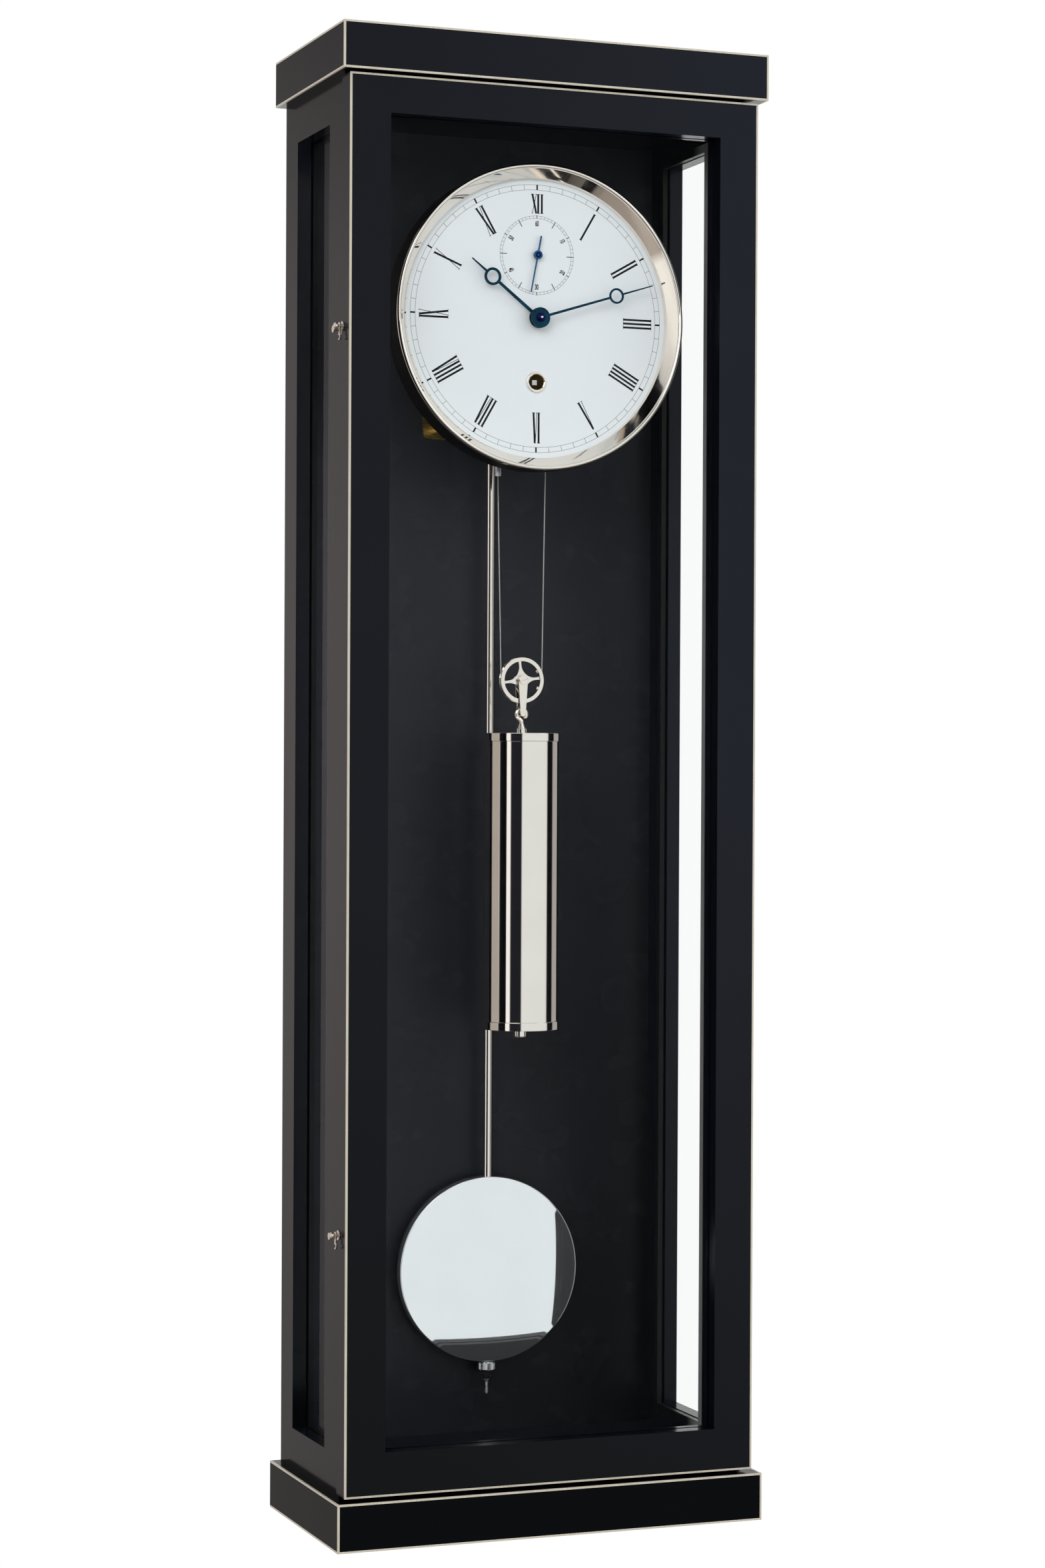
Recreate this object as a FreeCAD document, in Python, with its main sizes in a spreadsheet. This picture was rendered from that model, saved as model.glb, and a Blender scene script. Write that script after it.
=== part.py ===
import FreeCAD, Part
import math
import os
from types import SimpleNamespace

import Sketcher
from FreeCAD import Placement, Rotation, Vector

# A weight-driven regulator wall clock in a glazed black case.
# X runs to the right, Y runs into the wall, Z runs up. The origin is the centre of the wall hanger's
# entry hole, on the wall. Heights count up from the clock's underside, drops down from a higher piece.
SIZES = {
    # case
    "clock_height": 1000.0,
    "side_overhang": 5.85,
    "front_overhang": 4.2,
    "crown_height": 31.0,
    "base_height": 32.0,
    "inlay_width": 1.3,
    "back_thickness": 7.0,
    "side_thickness": 16.1,
    "front_stile_width": 31.8,
    "rear_stile_width": 26.9,
    "side_top_rail": 28.0,
    "side_bottom_rail": 27.0,
    "board_thickness": 12.0,
    "glass_thickness": 3.0,
    "glass_lap": 6.0,
    "side_glass_set": 9.6,
    "glass_play": 0.2,
    # door
    "door_dial_gap": 10.5,
    "door_thickness": 17.5,
    "door_seam": 0.5,
    "door_overhang": 1.9,
    "door_top_gap": 1.8,
    "door_bottom_gap": 2.5,
    "door_stile_width": 28.0,
    "door_top_rail": 25.0,
    "door_bottom_rail": 29.0,
    "door_lip": 9.5,
    "pivot_inset": 4.0,
    "pivot_radius": 1.5,
    "pivot_reach": 9.0,
    "running_play": 0.05,
    # hook latches
    "upper_latch_drop": 197.2,
    "lower_latch_height": 205.8,
    "latch_back_set": 3.5,
    "catch_run": 7.0,
    "catch_fall": 1.5,
    "rosette_radius": 3.1,
    "rosette_thickness": 0.8,
    "stud_radius": 1.1,
    "stud_length": 4.0,
    "knob_radius": 2.2,
    "knob_length": 2.6,
    "knob_edge_start": 0.8,
    "knob_edge_end": 1.6,
    "knob_bulge": 0.25,
    "knob_flat_radius": 0.9,
    "hook_thickness": 1.0,
    "hook_width": 2.0,
    "hook_eye_radius": 2.4,
    "hook_end_radius": 2.1,
    "hook_stand_off": 1.8,
    "catch_radius": 0.9,
    "catch_head_radius": 2.3,
    "catch_play": 0.3,
    # wall hanger
    "hanger_drop": 62.0,
    "hanger_width": 24.0,
    "hanger_length": 44.0,
    "hanger_thickness": 1.5,
    "hanger_entry_radius": 5.0,
    "hanger_slot_radius": 2.5,
    "hanger_slot_rise": 11.0,
    "hanger_pocket": 5.0,
    "hanger_pocket_margin": 1.0,
    "hanger_screw_radius": 3.4,
    "hanger_screw_shank": 1.5,
    "hanger_screw_length": 5.0,
    "hanger_screw_offset": 17.0,
    # dial
    "dial_drop": 182.0,
    "dial_gap": 20.0,
    "dial_opening_radius": 94.2,
    "dial_lap": 2.8,
    "dial_thickness": 1.2,
    "bezel_wall": 3.4,
    "bezel_rim": 3.0,
    "bezel_rise": 12.0,
    "bezel_side_gap": 24.75,
    "bezel_skirt": 11.0,
    "bezel_round": 1.2,
    "bezel_lip_width": 0.8,
    "bezel_lip_rise": 1.2,
    "can_gap": 3.0,
    "can_wall": 1.5,
    "can_length": 18.0,
    "arbor_spacing": 43.0,
    "winding_hole_radius": 5.85,
    "grommet_flange": 1.3,
    "grommet_thickness": 0.9,
    "grommet_lip": 0.6,
    "grommet_edge": 0.3,
    "hour_hole_margin": 1.0,
    "seconds_hole_margin": 0.7,
    "dial_foot_radius": 2.5,
    "dial_foot_inset": 11.5,
    # movement plates
    "plate_width": 118.0,
    "plate_rise": 88.0,
    "plate_fall": 78.0,
    "plate_corner": 4.0,
    "plate_shoulder": 48.0,
    "plate_top_width": 48.0,
    "plate_thickness": 2.5,
    "pillar_radius": 4.0,
    "pillar_inset": 8.0,
    "post_length": 37.0,
    "post_radius": 6.0,
    "post_inset": 22.0,
    # weight, pulley and cable
    "weight_offset": 1.7,
    "weight_length": 202.9,
    "weight_radius": 26.3,
    "weight_wall": 1.0,
    "weight_cap_overhang": 0.8,
    "weight_cap_height": 5.5,
    "weight_nut_radius": 4.6,
    "weight_nut_height": 6.4,
    "weight_nut_round": 1.6,
    "collar_radius": 4.0,
    "collar_height": 3.2,
    "hook_cone_radius": 3.3,
    "hook_cone_height": 3.9,
    "hook_drop": 13.4,
    "hook_wire": 1.7,
    "hook_ring": 3.4,
    "hook_tip_angle": -30.0,
    "hook_stem_angle": 225.0,
    "pulley_drop": 244.6,
    "pulley_radius": 15.7,
    "pulley_thickness": 4.2,
    "pulley_rim": 2.6,
    "pulley_hub": 4.2,
    "pulley_spoke": 1.8,
    "spoke_flare": 10.0,
    "spoke_foot": 2.8,
    "spoke_foot_height": 1.4,
    "spoke_sink": 0.4,
    "spoke_thickness": 2.0,
    "spoke_angle": -7.0,
    "groove_depth": 1.4,
    "groove_half_width": 1.5,
    "groove_half_floor": 0.5,
    "pulley_axle_radius": 1.6,
    "stirrup_top_width": 6.9,
    "stirrup_bottom_width": 3.8,
    "stirrup_length": 23.0,
    "stirrup_thickness": 1.2,
    "stirrup_pin_radius": 1.4,
    "pulley_side_play": 0.5,
    "axle_head_radius": 3.05,
    "axle_head_height": 1.4,
    "slot_width": 0.7,
    "slot_depth": 0.6,
    "slot_angle": 68.0,
    "cable_radius": 0.4,
    "cable_play": 0.3,
    "anchor_offset": 16.3,
    "anchor_drop": 96.0,
    "ferrule_radius": 2.3,
    "ferrule_length": 9.0,
    "strap_width": 5.0,
    "strap_thickness": 1.5,
    "strap_sink": 0.1,
    "cable_pillar_drop": 71.0,
    "cable_pillar_radius": 3.0,
    # going train
    "drum_radius": 18.7,
    "drum_width": 12.0,
    "drum_side_gap": 0.3,
    "drum_flange": 2.4,
    "drum_flange_thickness": 1.2,
    "winding_square": 3.4,
    "winding_reach": 16.7,
    "arbor_radius": 1.3,
    "drum_arbor_radius": 3.0,
    "pivot_size": 0.8,
    "shake": 0.4,
    "wheel_thickness": 2.0,
    "wheel_rim": 2.2,
    "wheel_hub_radius": 3.9,
    "wheel_spokes": 5,
    "wheel_spoke_width": 2.2,
    "wheel_spoke_turn": 18.0,
    "great_rim": 3.0,
    "great_hub_radius": 7.5,
    "great_wheel_gap": 1.6,
    "pinion_face": 4.5,
    "layer_pitch": 5.4,
    "great_teeth": 72,
    "second_pinion_teeth": 12,
    "second_teeth": 64,
    "centre_pinion_teeth": 12,
    "centre_teeth": 64,
    "third_pinion_teeth": 8,
    "third_teeth": 60,
    "escape_pinion_teeth": 8,
    "escape_teeth": 35,
    "great_module": 0.75,
    "second_module": 0.7,
    "train_module": 0.75,
    "escape_radius": 16.0,
    "escape_tooth_height": 3.2,
    "escape_thickness": 1.2,
    "escape_rim": 2.0,
    "escape_hub_radius": 3.25,
    "escape_front_gap": 1.45,
    "escape_back_gap": 1.6,
    "anchor_distance": 22.0,
    "anchor_rise": 2.2,
    "anchor_sink": 2.6,
    "anchor_hub_radius": 3.2,
    "pallet_clearance": 1.1,
    "pallet_span": 43.7,
    "pallet_width": 2.4,
    "pallet_heel": 1.2,
    "pallet_heel_rise": 1.4,
    "pallet_toe": 0.6,
    "pallet_toe_rise": 1.6,
    "crutch_gap": 0.8,
    "crutch_length": 55.0,
    "crutch_width": 3.0,
    "crutch_thickness": 2.0,
    "fork_play": 0.3,
    # motion work and hands
    "motion_module": 0.6,
    "motion_gap": 0.8,
    "minute_stud_gap": 4.0,
    "cannon_teeth": 10,
    "minute_wheel_teeth": 30,
    "minute_pinion_teeth": 8,
    "hour_teeth": 32,
    "minute_stud_angle": -30.0,
    "cannon_radius": 2.1,
    "hour_pipe_radius": 3.3,
    "minute_hand_rise": 8.0,
    "hour_hand_rise": 5.0,
    "seconds_hand_rise": 2.4,
    "hand_thickness": 0.8,
    "hand_boss_radius": 6.9,
    "hour_hand_length": 61.5,
    "hour_ring_distance": 42.6,
    "hour_ring_radius": 6.0,
    "hour_ring_wall": 1.75,
    "hour_arm_width": 2.3,
    "minute_hand_length": 86.2,
    "minute_ring_distance": 58.2,
    "minute_ring_radius": 5.3,
    "minute_ring_wall": 1.35,
    "minute_arm_width": 1.8,
    "hand_tip_width": 0.7,
    "hand_taper": 0.8,
    "seconds_hand_length": 25.7,
    "seconds_tail_length": 13.2,
    "seconds_boss_radius": 3.0,
    "seconds_arm_width": 1.0,
    "seconds_tail_width": 1.0,
    "hand_nut_radius": 3.2,
    "hand_nut_height": 2.6,
    "hand_nut_side": 0.8,
    "hand_nut_dome": 0.5,
    "centre_arbor_end": 1.0,
    "hour_angle": 308.2,
    "minute_angle": 72.6,
    "seconds_angle": 190.8,
    # pendulum
    "pendulum_gap": 23.0,
    "rod_radius": 3.0,
    "rod_top_gap": 8.0,
    "rod_overrun": 1.0,
    "bob_height": 161.0,
    "bob_radius": 65.0,
    "bob_rim": 9.0,
    "bob_edge": 0.5,
    "bob_sag": 4.8,
    "nut_radius": 5.85,
    "nut_height": 6.5,
    "nut_play": 0.3,
    "nut_chamfer": 0.8,
    "tip_cone_height": 6.0,
    "tip_cone_radius": 4.6,
    "tip_end_radius": 2.1,
    "spindle_radius": 1.15,
    "tip_reach": 10.2,
    "spring_width": 8.0,
    "spring_thickness": 0.3,
    "cock_width": 22.0,
    "cock_height": 12.0,
    "cock_thickness": 4.0,
}

doc = FreeCAD.newDocument("regulator_clock")
sheet = doc.addObject("Spreadsheet::Sheet", "sizes")
for row, (name, number) in enumerate(SIZES.items(), 1):
    sheet.set(f"A{row}", name)
    sheet.set(f"B{row}", str(number))
    sheet.setAlias(f"B{row}", name)
doc.recompute()


class Size:
    """A length that keeps both its number and the expression that gives it from the sheet."""

    def __init__(self, text, number):
        self.text = text
        self.number = number

    def __add__(self, other):
        other = as_size(other)
        return Size(f"({self.text} + {other.text})", self.number + other.number)

    def __sub__(self, other):
        other = as_size(other)
        return Size(f"({self.text} - {other.text})", self.number - other.number)

    def __mul__(self, other):
        other = as_size(other)
        return Size(f"({self.text} * {other.text})", self.number * other.number)

    def __truediv__(self, other):
        other = as_size(other)
        return Size(f"({self.text} / {other.text})", self.number / other.number)

    def root(self):
        return Size(f"sqrt({self.text})", math.sqrt(self.number))

    def __neg__(self):
        return Size(f"(0 - {self.text})", -self.number)

    def __float__(self):
        return float(self.number)


def as_size(value):
    return value if isinstance(value, Size) else Size(repr(float(value)), float(value))


# d holds each size as an expression, n holds it as a plain number
d = SimpleNamespace(**{name: Size(f"sizes.{name}", float(sheet.get(name))) for name in SIZES})
n = SimpleNamespace(**{name: float(sheet.get(name)) for name in SIZES})
TURN_TO = {"x": Rotation(Vector(0, 1, 0), 90), "y": Rotation(Vector(1, 0, 0), -90), "z": Rotation()}
ROUND_END = 0.99  # share of a half round that keeps an end's arc on its own side
pieces = []


def piece(label, feature):
    feature.Label = label
    pieces.append(feature)
    return feature


def place(feature, x, y, z, rotation=Rotation()):
    feature.Placement = Placement(Vector(float(x), float(y), float(z)), rotation)
    for axis, value in zip("xyz", (x, y, z)):
        feature.setExpression(f"Placement.Base.{axis}", as_size(value).text)


def block(x, y, z):
    """A box between the low and high ends given for each axis."""
    box = doc.addObject("Part::Box", "block")
    for side, (low, high) in zip(("Length", "Width", "Height"), (x, y, z)):
        box.setExpression(side, (as_size(high) - low).text)
    place(box, x[0], y[0], z[0])
    return box


def round_bar(axis, radius, along, at):
    """A cylinder along an axis; at gives the two other coordinates in X, Y, Z order."""
    bar = doc.addObject("Part::Cylinder", "bar")
    bar.setExpression("Radius", as_size(radius).text)
    bar.setExpression("Height", (as_size(along[1]) - along[0]).text)
    base = list(at)
    base.insert("xyz".index(axis), along[0])
    place(bar, *base, TURN_TO[axis])
    return bar


def cut(base, *tools):
    result = doc.addObject("Part::Cut", "cut")
    result.Base = base
    result.Tool = tools[0] if len(tools) == 1 else fuse(*tools)
    return result


def fuse(*parts):
    result = doc.addObject("Part::MultiFuse", "fuse")
    result.Shapes = list(parts)
    return result


def group(*parts):
    result = doc.addObject("Part::Compound", "group")
    result.Links = list(parts)
    return result


def trace(sketch, outline):
    """Closed outline of lines and arcs; a third item is how far the line to the next corner bulges out."""
    first = sketch.GeometryCount
    count = len(outline)
    corners = [(as_size(item[0]), as_size(item[1])) for item in outline]
    ends = []
    for index, item in enumerate(outline):
        (x, y), (next_x, next_y) = corners[index], corners[(index + 1) % count]
        start = Vector(float(x), float(y), 0)
        end = Vector(float(next_x), float(next_y), 0)
        if len(item) == 2:
            sketch.addGeometry(Part.LineSegment(start, end))
            ends.append((1, 2))
            continue
        run = end - start
        outward = Vector(run.y, -run.x, 0).normalize()
        middle = (start + end) * 0.5 + outward * float(item[2])
        if float(item[2]) > 0:
            sketch.addGeometry(Part.Arc(start, middle, end))
            ends.append((1, 2))
        else:
            sketch.addGeometry(Part.Arc(end, middle, start))
            ends.append((2, 1))
    for index, item in enumerate(outline):
        number = first + index
        following = (index + 1) % count
        sketch.addConstraint(Sketcher.Constraint(
            "Coincident", number, ends[index][1], first + following, ends[following][0]))
        for direction, value in zip(("DistanceX", "DistanceY"), corners[index]):
            fixed = sketch.addConstraint(Sketcher.Constraint(
                direction, -1, 1, number, ends[index][0], float(value)))
            sketch.setExpression(f"Constraints[{fixed}]", value.text)
        if len(item) == 3:
            bulge = as_size(item[2])
            across = corners[following][0] - corners[index][0]
            along = corners[following][1] - corners[index][1]
            radius = ((across * across + along * along) / 4 + bulge * bulge) / (bulge * 2)
            radius = -radius if float(bulge) < 0 else radius
            fixed = sketch.addConstraint(Sketcher.Constraint("Radius", number, float(radius)))
            sketch.setExpression(f"Constraints[{fixed}]", radius.text)


def ring_hole(sketch, x, z, radius):
    number = sketch.addGeometry(Part.Circle(Vector(float(x), float(z), 0), Vector(0, 0, 1), float(radius)))
    for kind, value in (("DistanceX", x), ("DistanceY", z)):
        fixed = sketch.addConstraint(Sketcher.Constraint(kind, -1, 1, number, 3, float(value)))
        sketch.setExpression(f"Constraints[{fixed}]", as_size(value).text)
    fixed = sketch.addConstraint(Sketcher.Constraint("Radius", number, float(radius)))
    sketch.setExpression(f"Constraints[{fixed}]", as_size(radius).text)


def sketch_on(body, role):
    sketch = body.newObject("Sketcher::SketchObject", "outline")
    plane = [item for item in body.Origin.OriginFeatures if item.Role == role][0]
    sketch.AttachmentSupport = [(plane, "")]
    sketch.MapMode = "FlatFace"
    return sketch


def turned(axis, profile, at, rotation=Rotation()):
    """A turned piece: the profile's corners are radius and place along the axis."""
    body = doc.addObject("PartDesign::Body", "turned")
    sketch = sketch_on(body, "XZ_Plane" if axis == "z" else "XY_Plane")
    trace(sketch, profile)
    turn = body.newObject("PartDesign::Revolution", "turn")
    turn.Profile = sketch
    turn.ReferenceAxis = (sketch, ["V_Axis"])
    turn.Angle = 360
    place(body, *at, rotation)
    return body


def plate(outline, thickness, at, holes=(), rotation=Rotation()):
    """A flat piece seen from the front, from at's Y backwards."""
    body = doc.addObject("PartDesign::Body", "plate")
    sketch = sketch_on(body, "XZ_Plane")
    trace(sketch, outline)
    for hole in holes:
        ring_hole(sketch, *hole)
    pad = body.newObject("PartDesign::Pad", "pad")
    pad.Profile = sketch
    pad.setExpression("Length", as_size(thickness).text)
    pad.Reversed = True
    place(body, *at, rotation)
    return body


def level(height):
    return as_size(height) - (d.clock_height - d.hanger_drop)


def both(half):
    return (-as_size(half), as_size(half))


# Radii of the dial, and the case's width around it
dial_radius = d.dial_opening_radius + d.dial_lap
can_radius = dial_radius + d.can_gap
bezel_radius = can_radius + d.bezel_wall
inner_half = bezel_radius + d.bezel_side_gap
half_case = inner_half + d.side_thickness
half_door = half_case + d.door_overhang

# Planes from the wall to the front of the door
plate_gap = (
    d.drum_side_gap + d.drum_width + d.drum_flange_thickness * 2 + d.great_wheel_gap + d.layer_pitch * 3
    + d.wheel_thickness / 2 + d.pinion_face / 2 + d.escape_front_gap + d.escape_thickness + d.escape_back_gap)
case_back = -d.back_thickness
back_plate_back = case_back - d.post_length
pendulum_y = back_plate_back + d.pendulum_gap
back_plate_front = back_plate_back - d.plate_thickness
front_plate_back = back_plate_front - plate_gap
weight_y = front_plate_back + d.drum_side_gap + d.drum_flange_thickness + d.drum_width / 2
front_plate_front = front_plate_back - d.plate_thickness
dial_front = front_plate_front - d.dial_gap
dial_back = dial_front + d.dial_thickness
seconds_hand_front = dial_front - d.seconds_hand_rise
hour_hand_front = dial_front - d.hour_hand_rise
minute_hand_front = dial_front - d.minute_hand_rise
bezel_front = dial_front - d.bezel_rise
door_back = bezel_front - d.door_dial_gap
door_front = door_back - d.door_thickness
case_front = door_back + d.door_seam

# Levels and side planes
floor_level = level(d.base_height)
ceiling_level = level(d.clock_height - d.crown_height)
door_low = floor_level + d.door_bottom_gap
door_high = ceiling_level - d.door_top_gap
pivot_x = half_door - d.pivot_inset
pivot_y = door_back - d.pivot_inset
window_front = case_front + d.front_stile_width
window_back = -d.rear_stile_width
window_low = floor_level + d.side_bottom_rail
window_high = ceiling_level - d.side_top_rail
dial_level = level(d.clock_height - d.dial_drop)
seconds_level = dial_level + d.arbor_spacing
winding_level = dial_level - d.arbor_spacing
anchor_level = seconds_level + d.anchor_distance
plate_low = dial_level - d.plate_fall
plate_high = dial_level + d.plate_rise
shoulder_level = dial_level + d.plate_shoulder
pulley_level = dial_level - d.pulley_drop
pin_level = pulley_level - d.stirrup_length
weight_top = pin_level - d.hook_drop
cable_x = d.weight_offset + d.pulley_radius - d.groove_depth + d.cable_play + d.cable_radius


def edged_block(x, y, z):
    """A block rebated along its front, side, top and bottom edges, and the strips that fill the rebates."""
    strip = d.inlay_width
    inner_x = (x[0] + strip, x[1] - strip)
    inner_y = (y[0] + strip, y[1])
    inner_z = (z[0] + strip, z[1] - strip)
    core = fuse(block(x, inner_y, inner_z), block(inner_x, y, inner_z), block(inner_x, inner_y, z))
    return core, cut(block(x, y, z), core)


def pivot_hole(low, high):
    return round_bar("z", d.pivot_radius + d.running_play, (low, high), (pivot_x, pivot_y))


def make_case():
    cap_x = both(half_door + d.side_overhang)
    cap_y = (door_front - d.front_overhang, as_size(0))
    crown, crown_strips = edged_block(cap_x, cap_y, (ceiling_level, level(d.clock_height)))
    piece("crown", cut(crown, pivot_hole(ceiling_level, ceiling_level + d.pivot_reach)))
    base, base_strips = edged_block(cap_x, cap_y, (level(0), floor_level))
    piece("base_plinth", cut(base, pivot_hole(floor_level - d.pivot_reach, floor_level)))
    piece("case_inlay", group(crown_strips, base_strips))
    stiles, rails, panes, beads = [], [], [], []
    lap_y = (window_front - d.glass_lap, window_back + d.glass_lap)
    lap_z = (window_low - d.glass_lap, window_high + d.glass_lap)
    pane_y = (lap_y[0] + d.glass_play, lap_y[1] - d.glass_play)
    pane_z = (lap_z[0] + d.glass_play, lap_z[1] - d.glass_play)
    pane_outer = half_case - d.side_glass_set
    pane_inner = pane_outer - d.glass_thickness
    for side in (-1, 1):
        wood_x = sorted((half_case * side, inner_half * side), key=float)
        rebate_x = sorted((pane_outer * side, inner_half * side), key=float)
        pane_x = sorted((pane_outer * side, pane_inner * side), key=float)
        bead_x = sorted((pane_inner * side, inner_half * side), key=float)
        for stile_y in ((case_front, window_front), (window_back, as_size(0))):
            stile = block(wood_x, stile_y, (floor_level, ceiling_level))
            stiles.append(cut(stile, block(rebate_x, lap_y, lap_z)))
        for rail_z in ((floor_level, window_low), (window_high, ceiling_level)):
            rail = block(wood_x, (window_front, window_back), rail_z)
            rails.append(cut(rail, block(rebate_x, lap_y, lap_z)))
        panes.append(block(pane_x, pane_y, pane_z))
        beads.append(block(bead_x, (lap_y[0], window_front), lap_z))
        beads.append(block(bead_x, (window_back, lap_y[1]), lap_z))
        beads.append(block(bead_x, (window_front, window_back), (lap_z[0], window_low)))
        beads.append(block(bead_x, (window_front, window_back), (window_high, lap_z[1])))
    piece("side_stiles", group(*stiles))
    piece("side_rails", group(*rails))
    piece("side_glass", group(*panes))
    piece("side_glass_beads", group(*beads))
    board_y = (case_front, case_back)
    lower_board = block(both(inner_half), board_y, (floor_level, floor_level + d.board_thickness))
    upper_board = block(both(inner_half), board_y, (ceiling_level - d.board_thickness, ceiling_level))
    piece("case_boards", group(lower_board, upper_board))


def make_back():
    """Back panel with the keyhole hanger let into it."""
    panel = block(both(inner_half), (case_back, as_size(0)), (floor_level, ceiling_level))
    slot_top = d.hanger_slot_rise
    half_width = d.hanger_width / 2
    plate_low = slot_top / 2 - d.hanger_length / 2
    plate_high = slot_top / 2 + d.hanger_length / 2
    seat = block(both(half_width), (-d.hanger_thickness, as_size(0)), (plate_low, plate_high))
    pocket_y = (-(d.hanger_thickness + d.hanger_pocket), -d.hanger_thickness)
    pocket_radius = d.hanger_entry_radius + d.hanger_pocket_margin
    pocket = fuse(
        round_bar("y", pocket_radius, pocket_y, (0, 0)),
        round_bar("y", pocket_radius, pocket_y, (0, slot_top)),
        block(both(pocket_radius), pocket_y, (as_size(0), slot_top)))
    through = (-d.hanger_thickness, as_size(0))
    keyhole = fuse(
        round_bar("y", d.hanger_entry_radius, through, (0, 0)),
        round_bar("y", d.hanger_slot_radius, through, (0, slot_top)),
        block(both(d.hanger_slot_radius), through, (as_size(0), slot_top)))
    screws, shanks, sinks = [], [], []
    for side in (-1, 1):
        at = (0, 0, slot_top / 2 + d.hanger_screw_offset * side)
        flare = d.hanger_screw_radius
        shank = d.hanger_screw_shank
        tip = -d.hanger_screw_length
        seat_y = -d.hanger_thickness
        profile = [(0, tip), (shank, tip), (shank, seat_y), (flare, 0), (0, 0)]
        screws.append(turned("y", profile, at))
        shanks.append(round_bar("y", shank, (tip, seat_y), (at[0], at[2])))
        sinks.append(turned("y", [(0, seat_y), (shank, seat_y), (flare, 0), (0, 0)], at))
    hanger = block(both(half_width), through, (plate_low, plate_high))
    piece("back_panel", cut(panel, seat, pocket, *shanks))
    piece("hanger_plate", cut(hanger, keyhole, *sinks))
    piece("hanger_screws", group(*screws))


def make_door():
    opening_x = half_door - d.door_stile_width
    opening_z = (door_low + d.door_bottom_rail, door_high - d.door_top_rail)
    rebate_x = both(opening_x + d.glass_lap)
    rebate_z = (opening_z[0] - d.glass_lap, opening_z[1] + d.glass_lap)
    glass_front = door_front + d.door_lip
    glass_back = glass_front + d.glass_thickness
    rebate = block(rebate_x, (glass_front, door_back), rebate_z)
    depth = (door_front, door_back)
    height = (door_low, door_high)
    strip = d.inlay_width
    strip_y = (door_front, door_front + strip)
    inlay = cut(
        block(both(half_door), strip_y, height),
        block(both(half_door - strip), strip_y, (door_low + strip, door_high - strip)))
    left = block((-half_door, -opening_x), depth, height)
    knuckle = round_bar("z", d.pivot_inset, height, (pivot_x, pivot_y))
    right = fuse(
        block((opening_x, pivot_x), depth, height),
        block((pivot_x, half_door), (door_front, pivot_y), height),
        knuckle)
    pin_ends = []
    for end, way in ((door_low, -1), (door_high, 1)):
        inside = end - d.pivot_reach * way
        outside = end + d.pivot_reach * way
        pin_ends.append(sorted((inside, outside), key=float))
    pin_holes = [round_bar("z", d.pivot_radius, ends, (pivot_x, pivot_y)) for ends in pin_ends]
    lower_rail = block(both(opening_x), depth, (door_low, opening_z[0]))
    upper_rail = block(both(opening_x), depth, (opening_z[1], door_high))
    piece("door_left_stile", cut(left, rebate, inlay))
    piece("door_right_stile", cut(right, rebate, inlay, *pin_holes))
    piece("door_rails", group(cut(lower_rail, rebate, inlay), cut(upper_rail, rebate, inlay)))
    piece("door_inlay", inlay)
    pins = [round_bar("z", d.pivot_radius, ends, (pivot_x, pivot_y)) for ends in pin_ends]
    piece("door_pivot_pins", group(*pins))
    pane_z = (rebate_z[0] + d.glass_play, rebate_z[1] - d.glass_play)
    pane_x = both(opening_x + d.glass_lap - d.glass_play)
    piece("door_glass", block(pane_x, (glass_front, glass_back), pane_z))
    bead_y = (glass_back, door_back)
    piece("door_glass_beads", group(
        block((rebate_x[0], -opening_x), bead_y, rebate_z),
        block((opening_x, rebate_x[1]), bead_y, rebate_z),
        block(both(opening_x), bead_y, (rebate_z[0], opening_z[0])),
        block(both(opening_x), bead_y, (opening_z[1], rebate_z[1]))))


def make_latches():
    """Each hook hangs from a stud on the door's edge and swings back and up to a catch on the case."""
    stud_y = door_back - d.latch_back_set
    catch_y = stud_y + d.catch_run
    length = (d.catch_run * d.catch_run + d.catch_fall * d.catch_fall).root()
    face = -half_door
    neck_end = face - d.stud_length
    case_face = -half_case
    studs, catches = [], []
    heights = {"upper": d.clock_height - d.upper_latch_drop, "lower": d.lower_latch_height}
    for name, height in heights.items():
        z = level(height)
        rosette = round_bar("x", d.rosette_radius, (face - d.rosette_thickness, face), (stud_y, z))
        neck = round_bar("x", d.stud_radius, (neck_end, face), (stud_y, z))
        knob = turned("z", [
            (0, 0), (d.stud_radius, 0), (d.knob_radius, d.knob_edge_start),
            (d.knob_radius, d.knob_edge_end, d.knob_bulge), (d.knob_flat_radius, d.knob_length),
            (0, d.knob_length)],
            (neck_end, stud_y, z), Rotation(Vector(0, 1, 0), -90))
        studs.append(fuse(rosette, neck, knob))
        hook_x = (face - d.hook_stand_off - d.hook_thickness, face - d.hook_stand_off)
        reach = z - length
        slot = d.catch_radius + d.catch_play
        arm = fuse(
            round_bar("x", d.hook_eye_radius, hook_x, (stud_y, z)),
            block(hook_x, (stud_y - d.hook_width / 2, stud_y + d.hook_width / 2), (reach, z)),
            round_bar("x", d.hook_end_radius, hook_x, (stud_y, reach)))
        hook = cut(
            arm,
            round_bar("x", d.stud_radius + d.running_play, hook_x, (stud_y, z)),
            round_bar("x", slot, hook_x, (stud_y, reach)),
            block(hook_x, (stud_y, stud_y + d.hook_end_radius), (reach - slot, reach + slot)))
        piece(f"{name}_latch_hook", hook)
        at = (catch_y, z - d.catch_fall)
        catches.append(fuse(
            round_bar("x", d.catch_radius, (neck_end, case_face), at),
            round_bar("x", d.catch_head_radius, (neck_end - d.rosette_thickness, neck_end), at),
            round_bar("x", d.rosette_radius, (case_face - d.rosette_thickness, case_face), at)))
    piece("latch_studs", group(*studs))
    piece("catch_studs", group(*catches))


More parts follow.
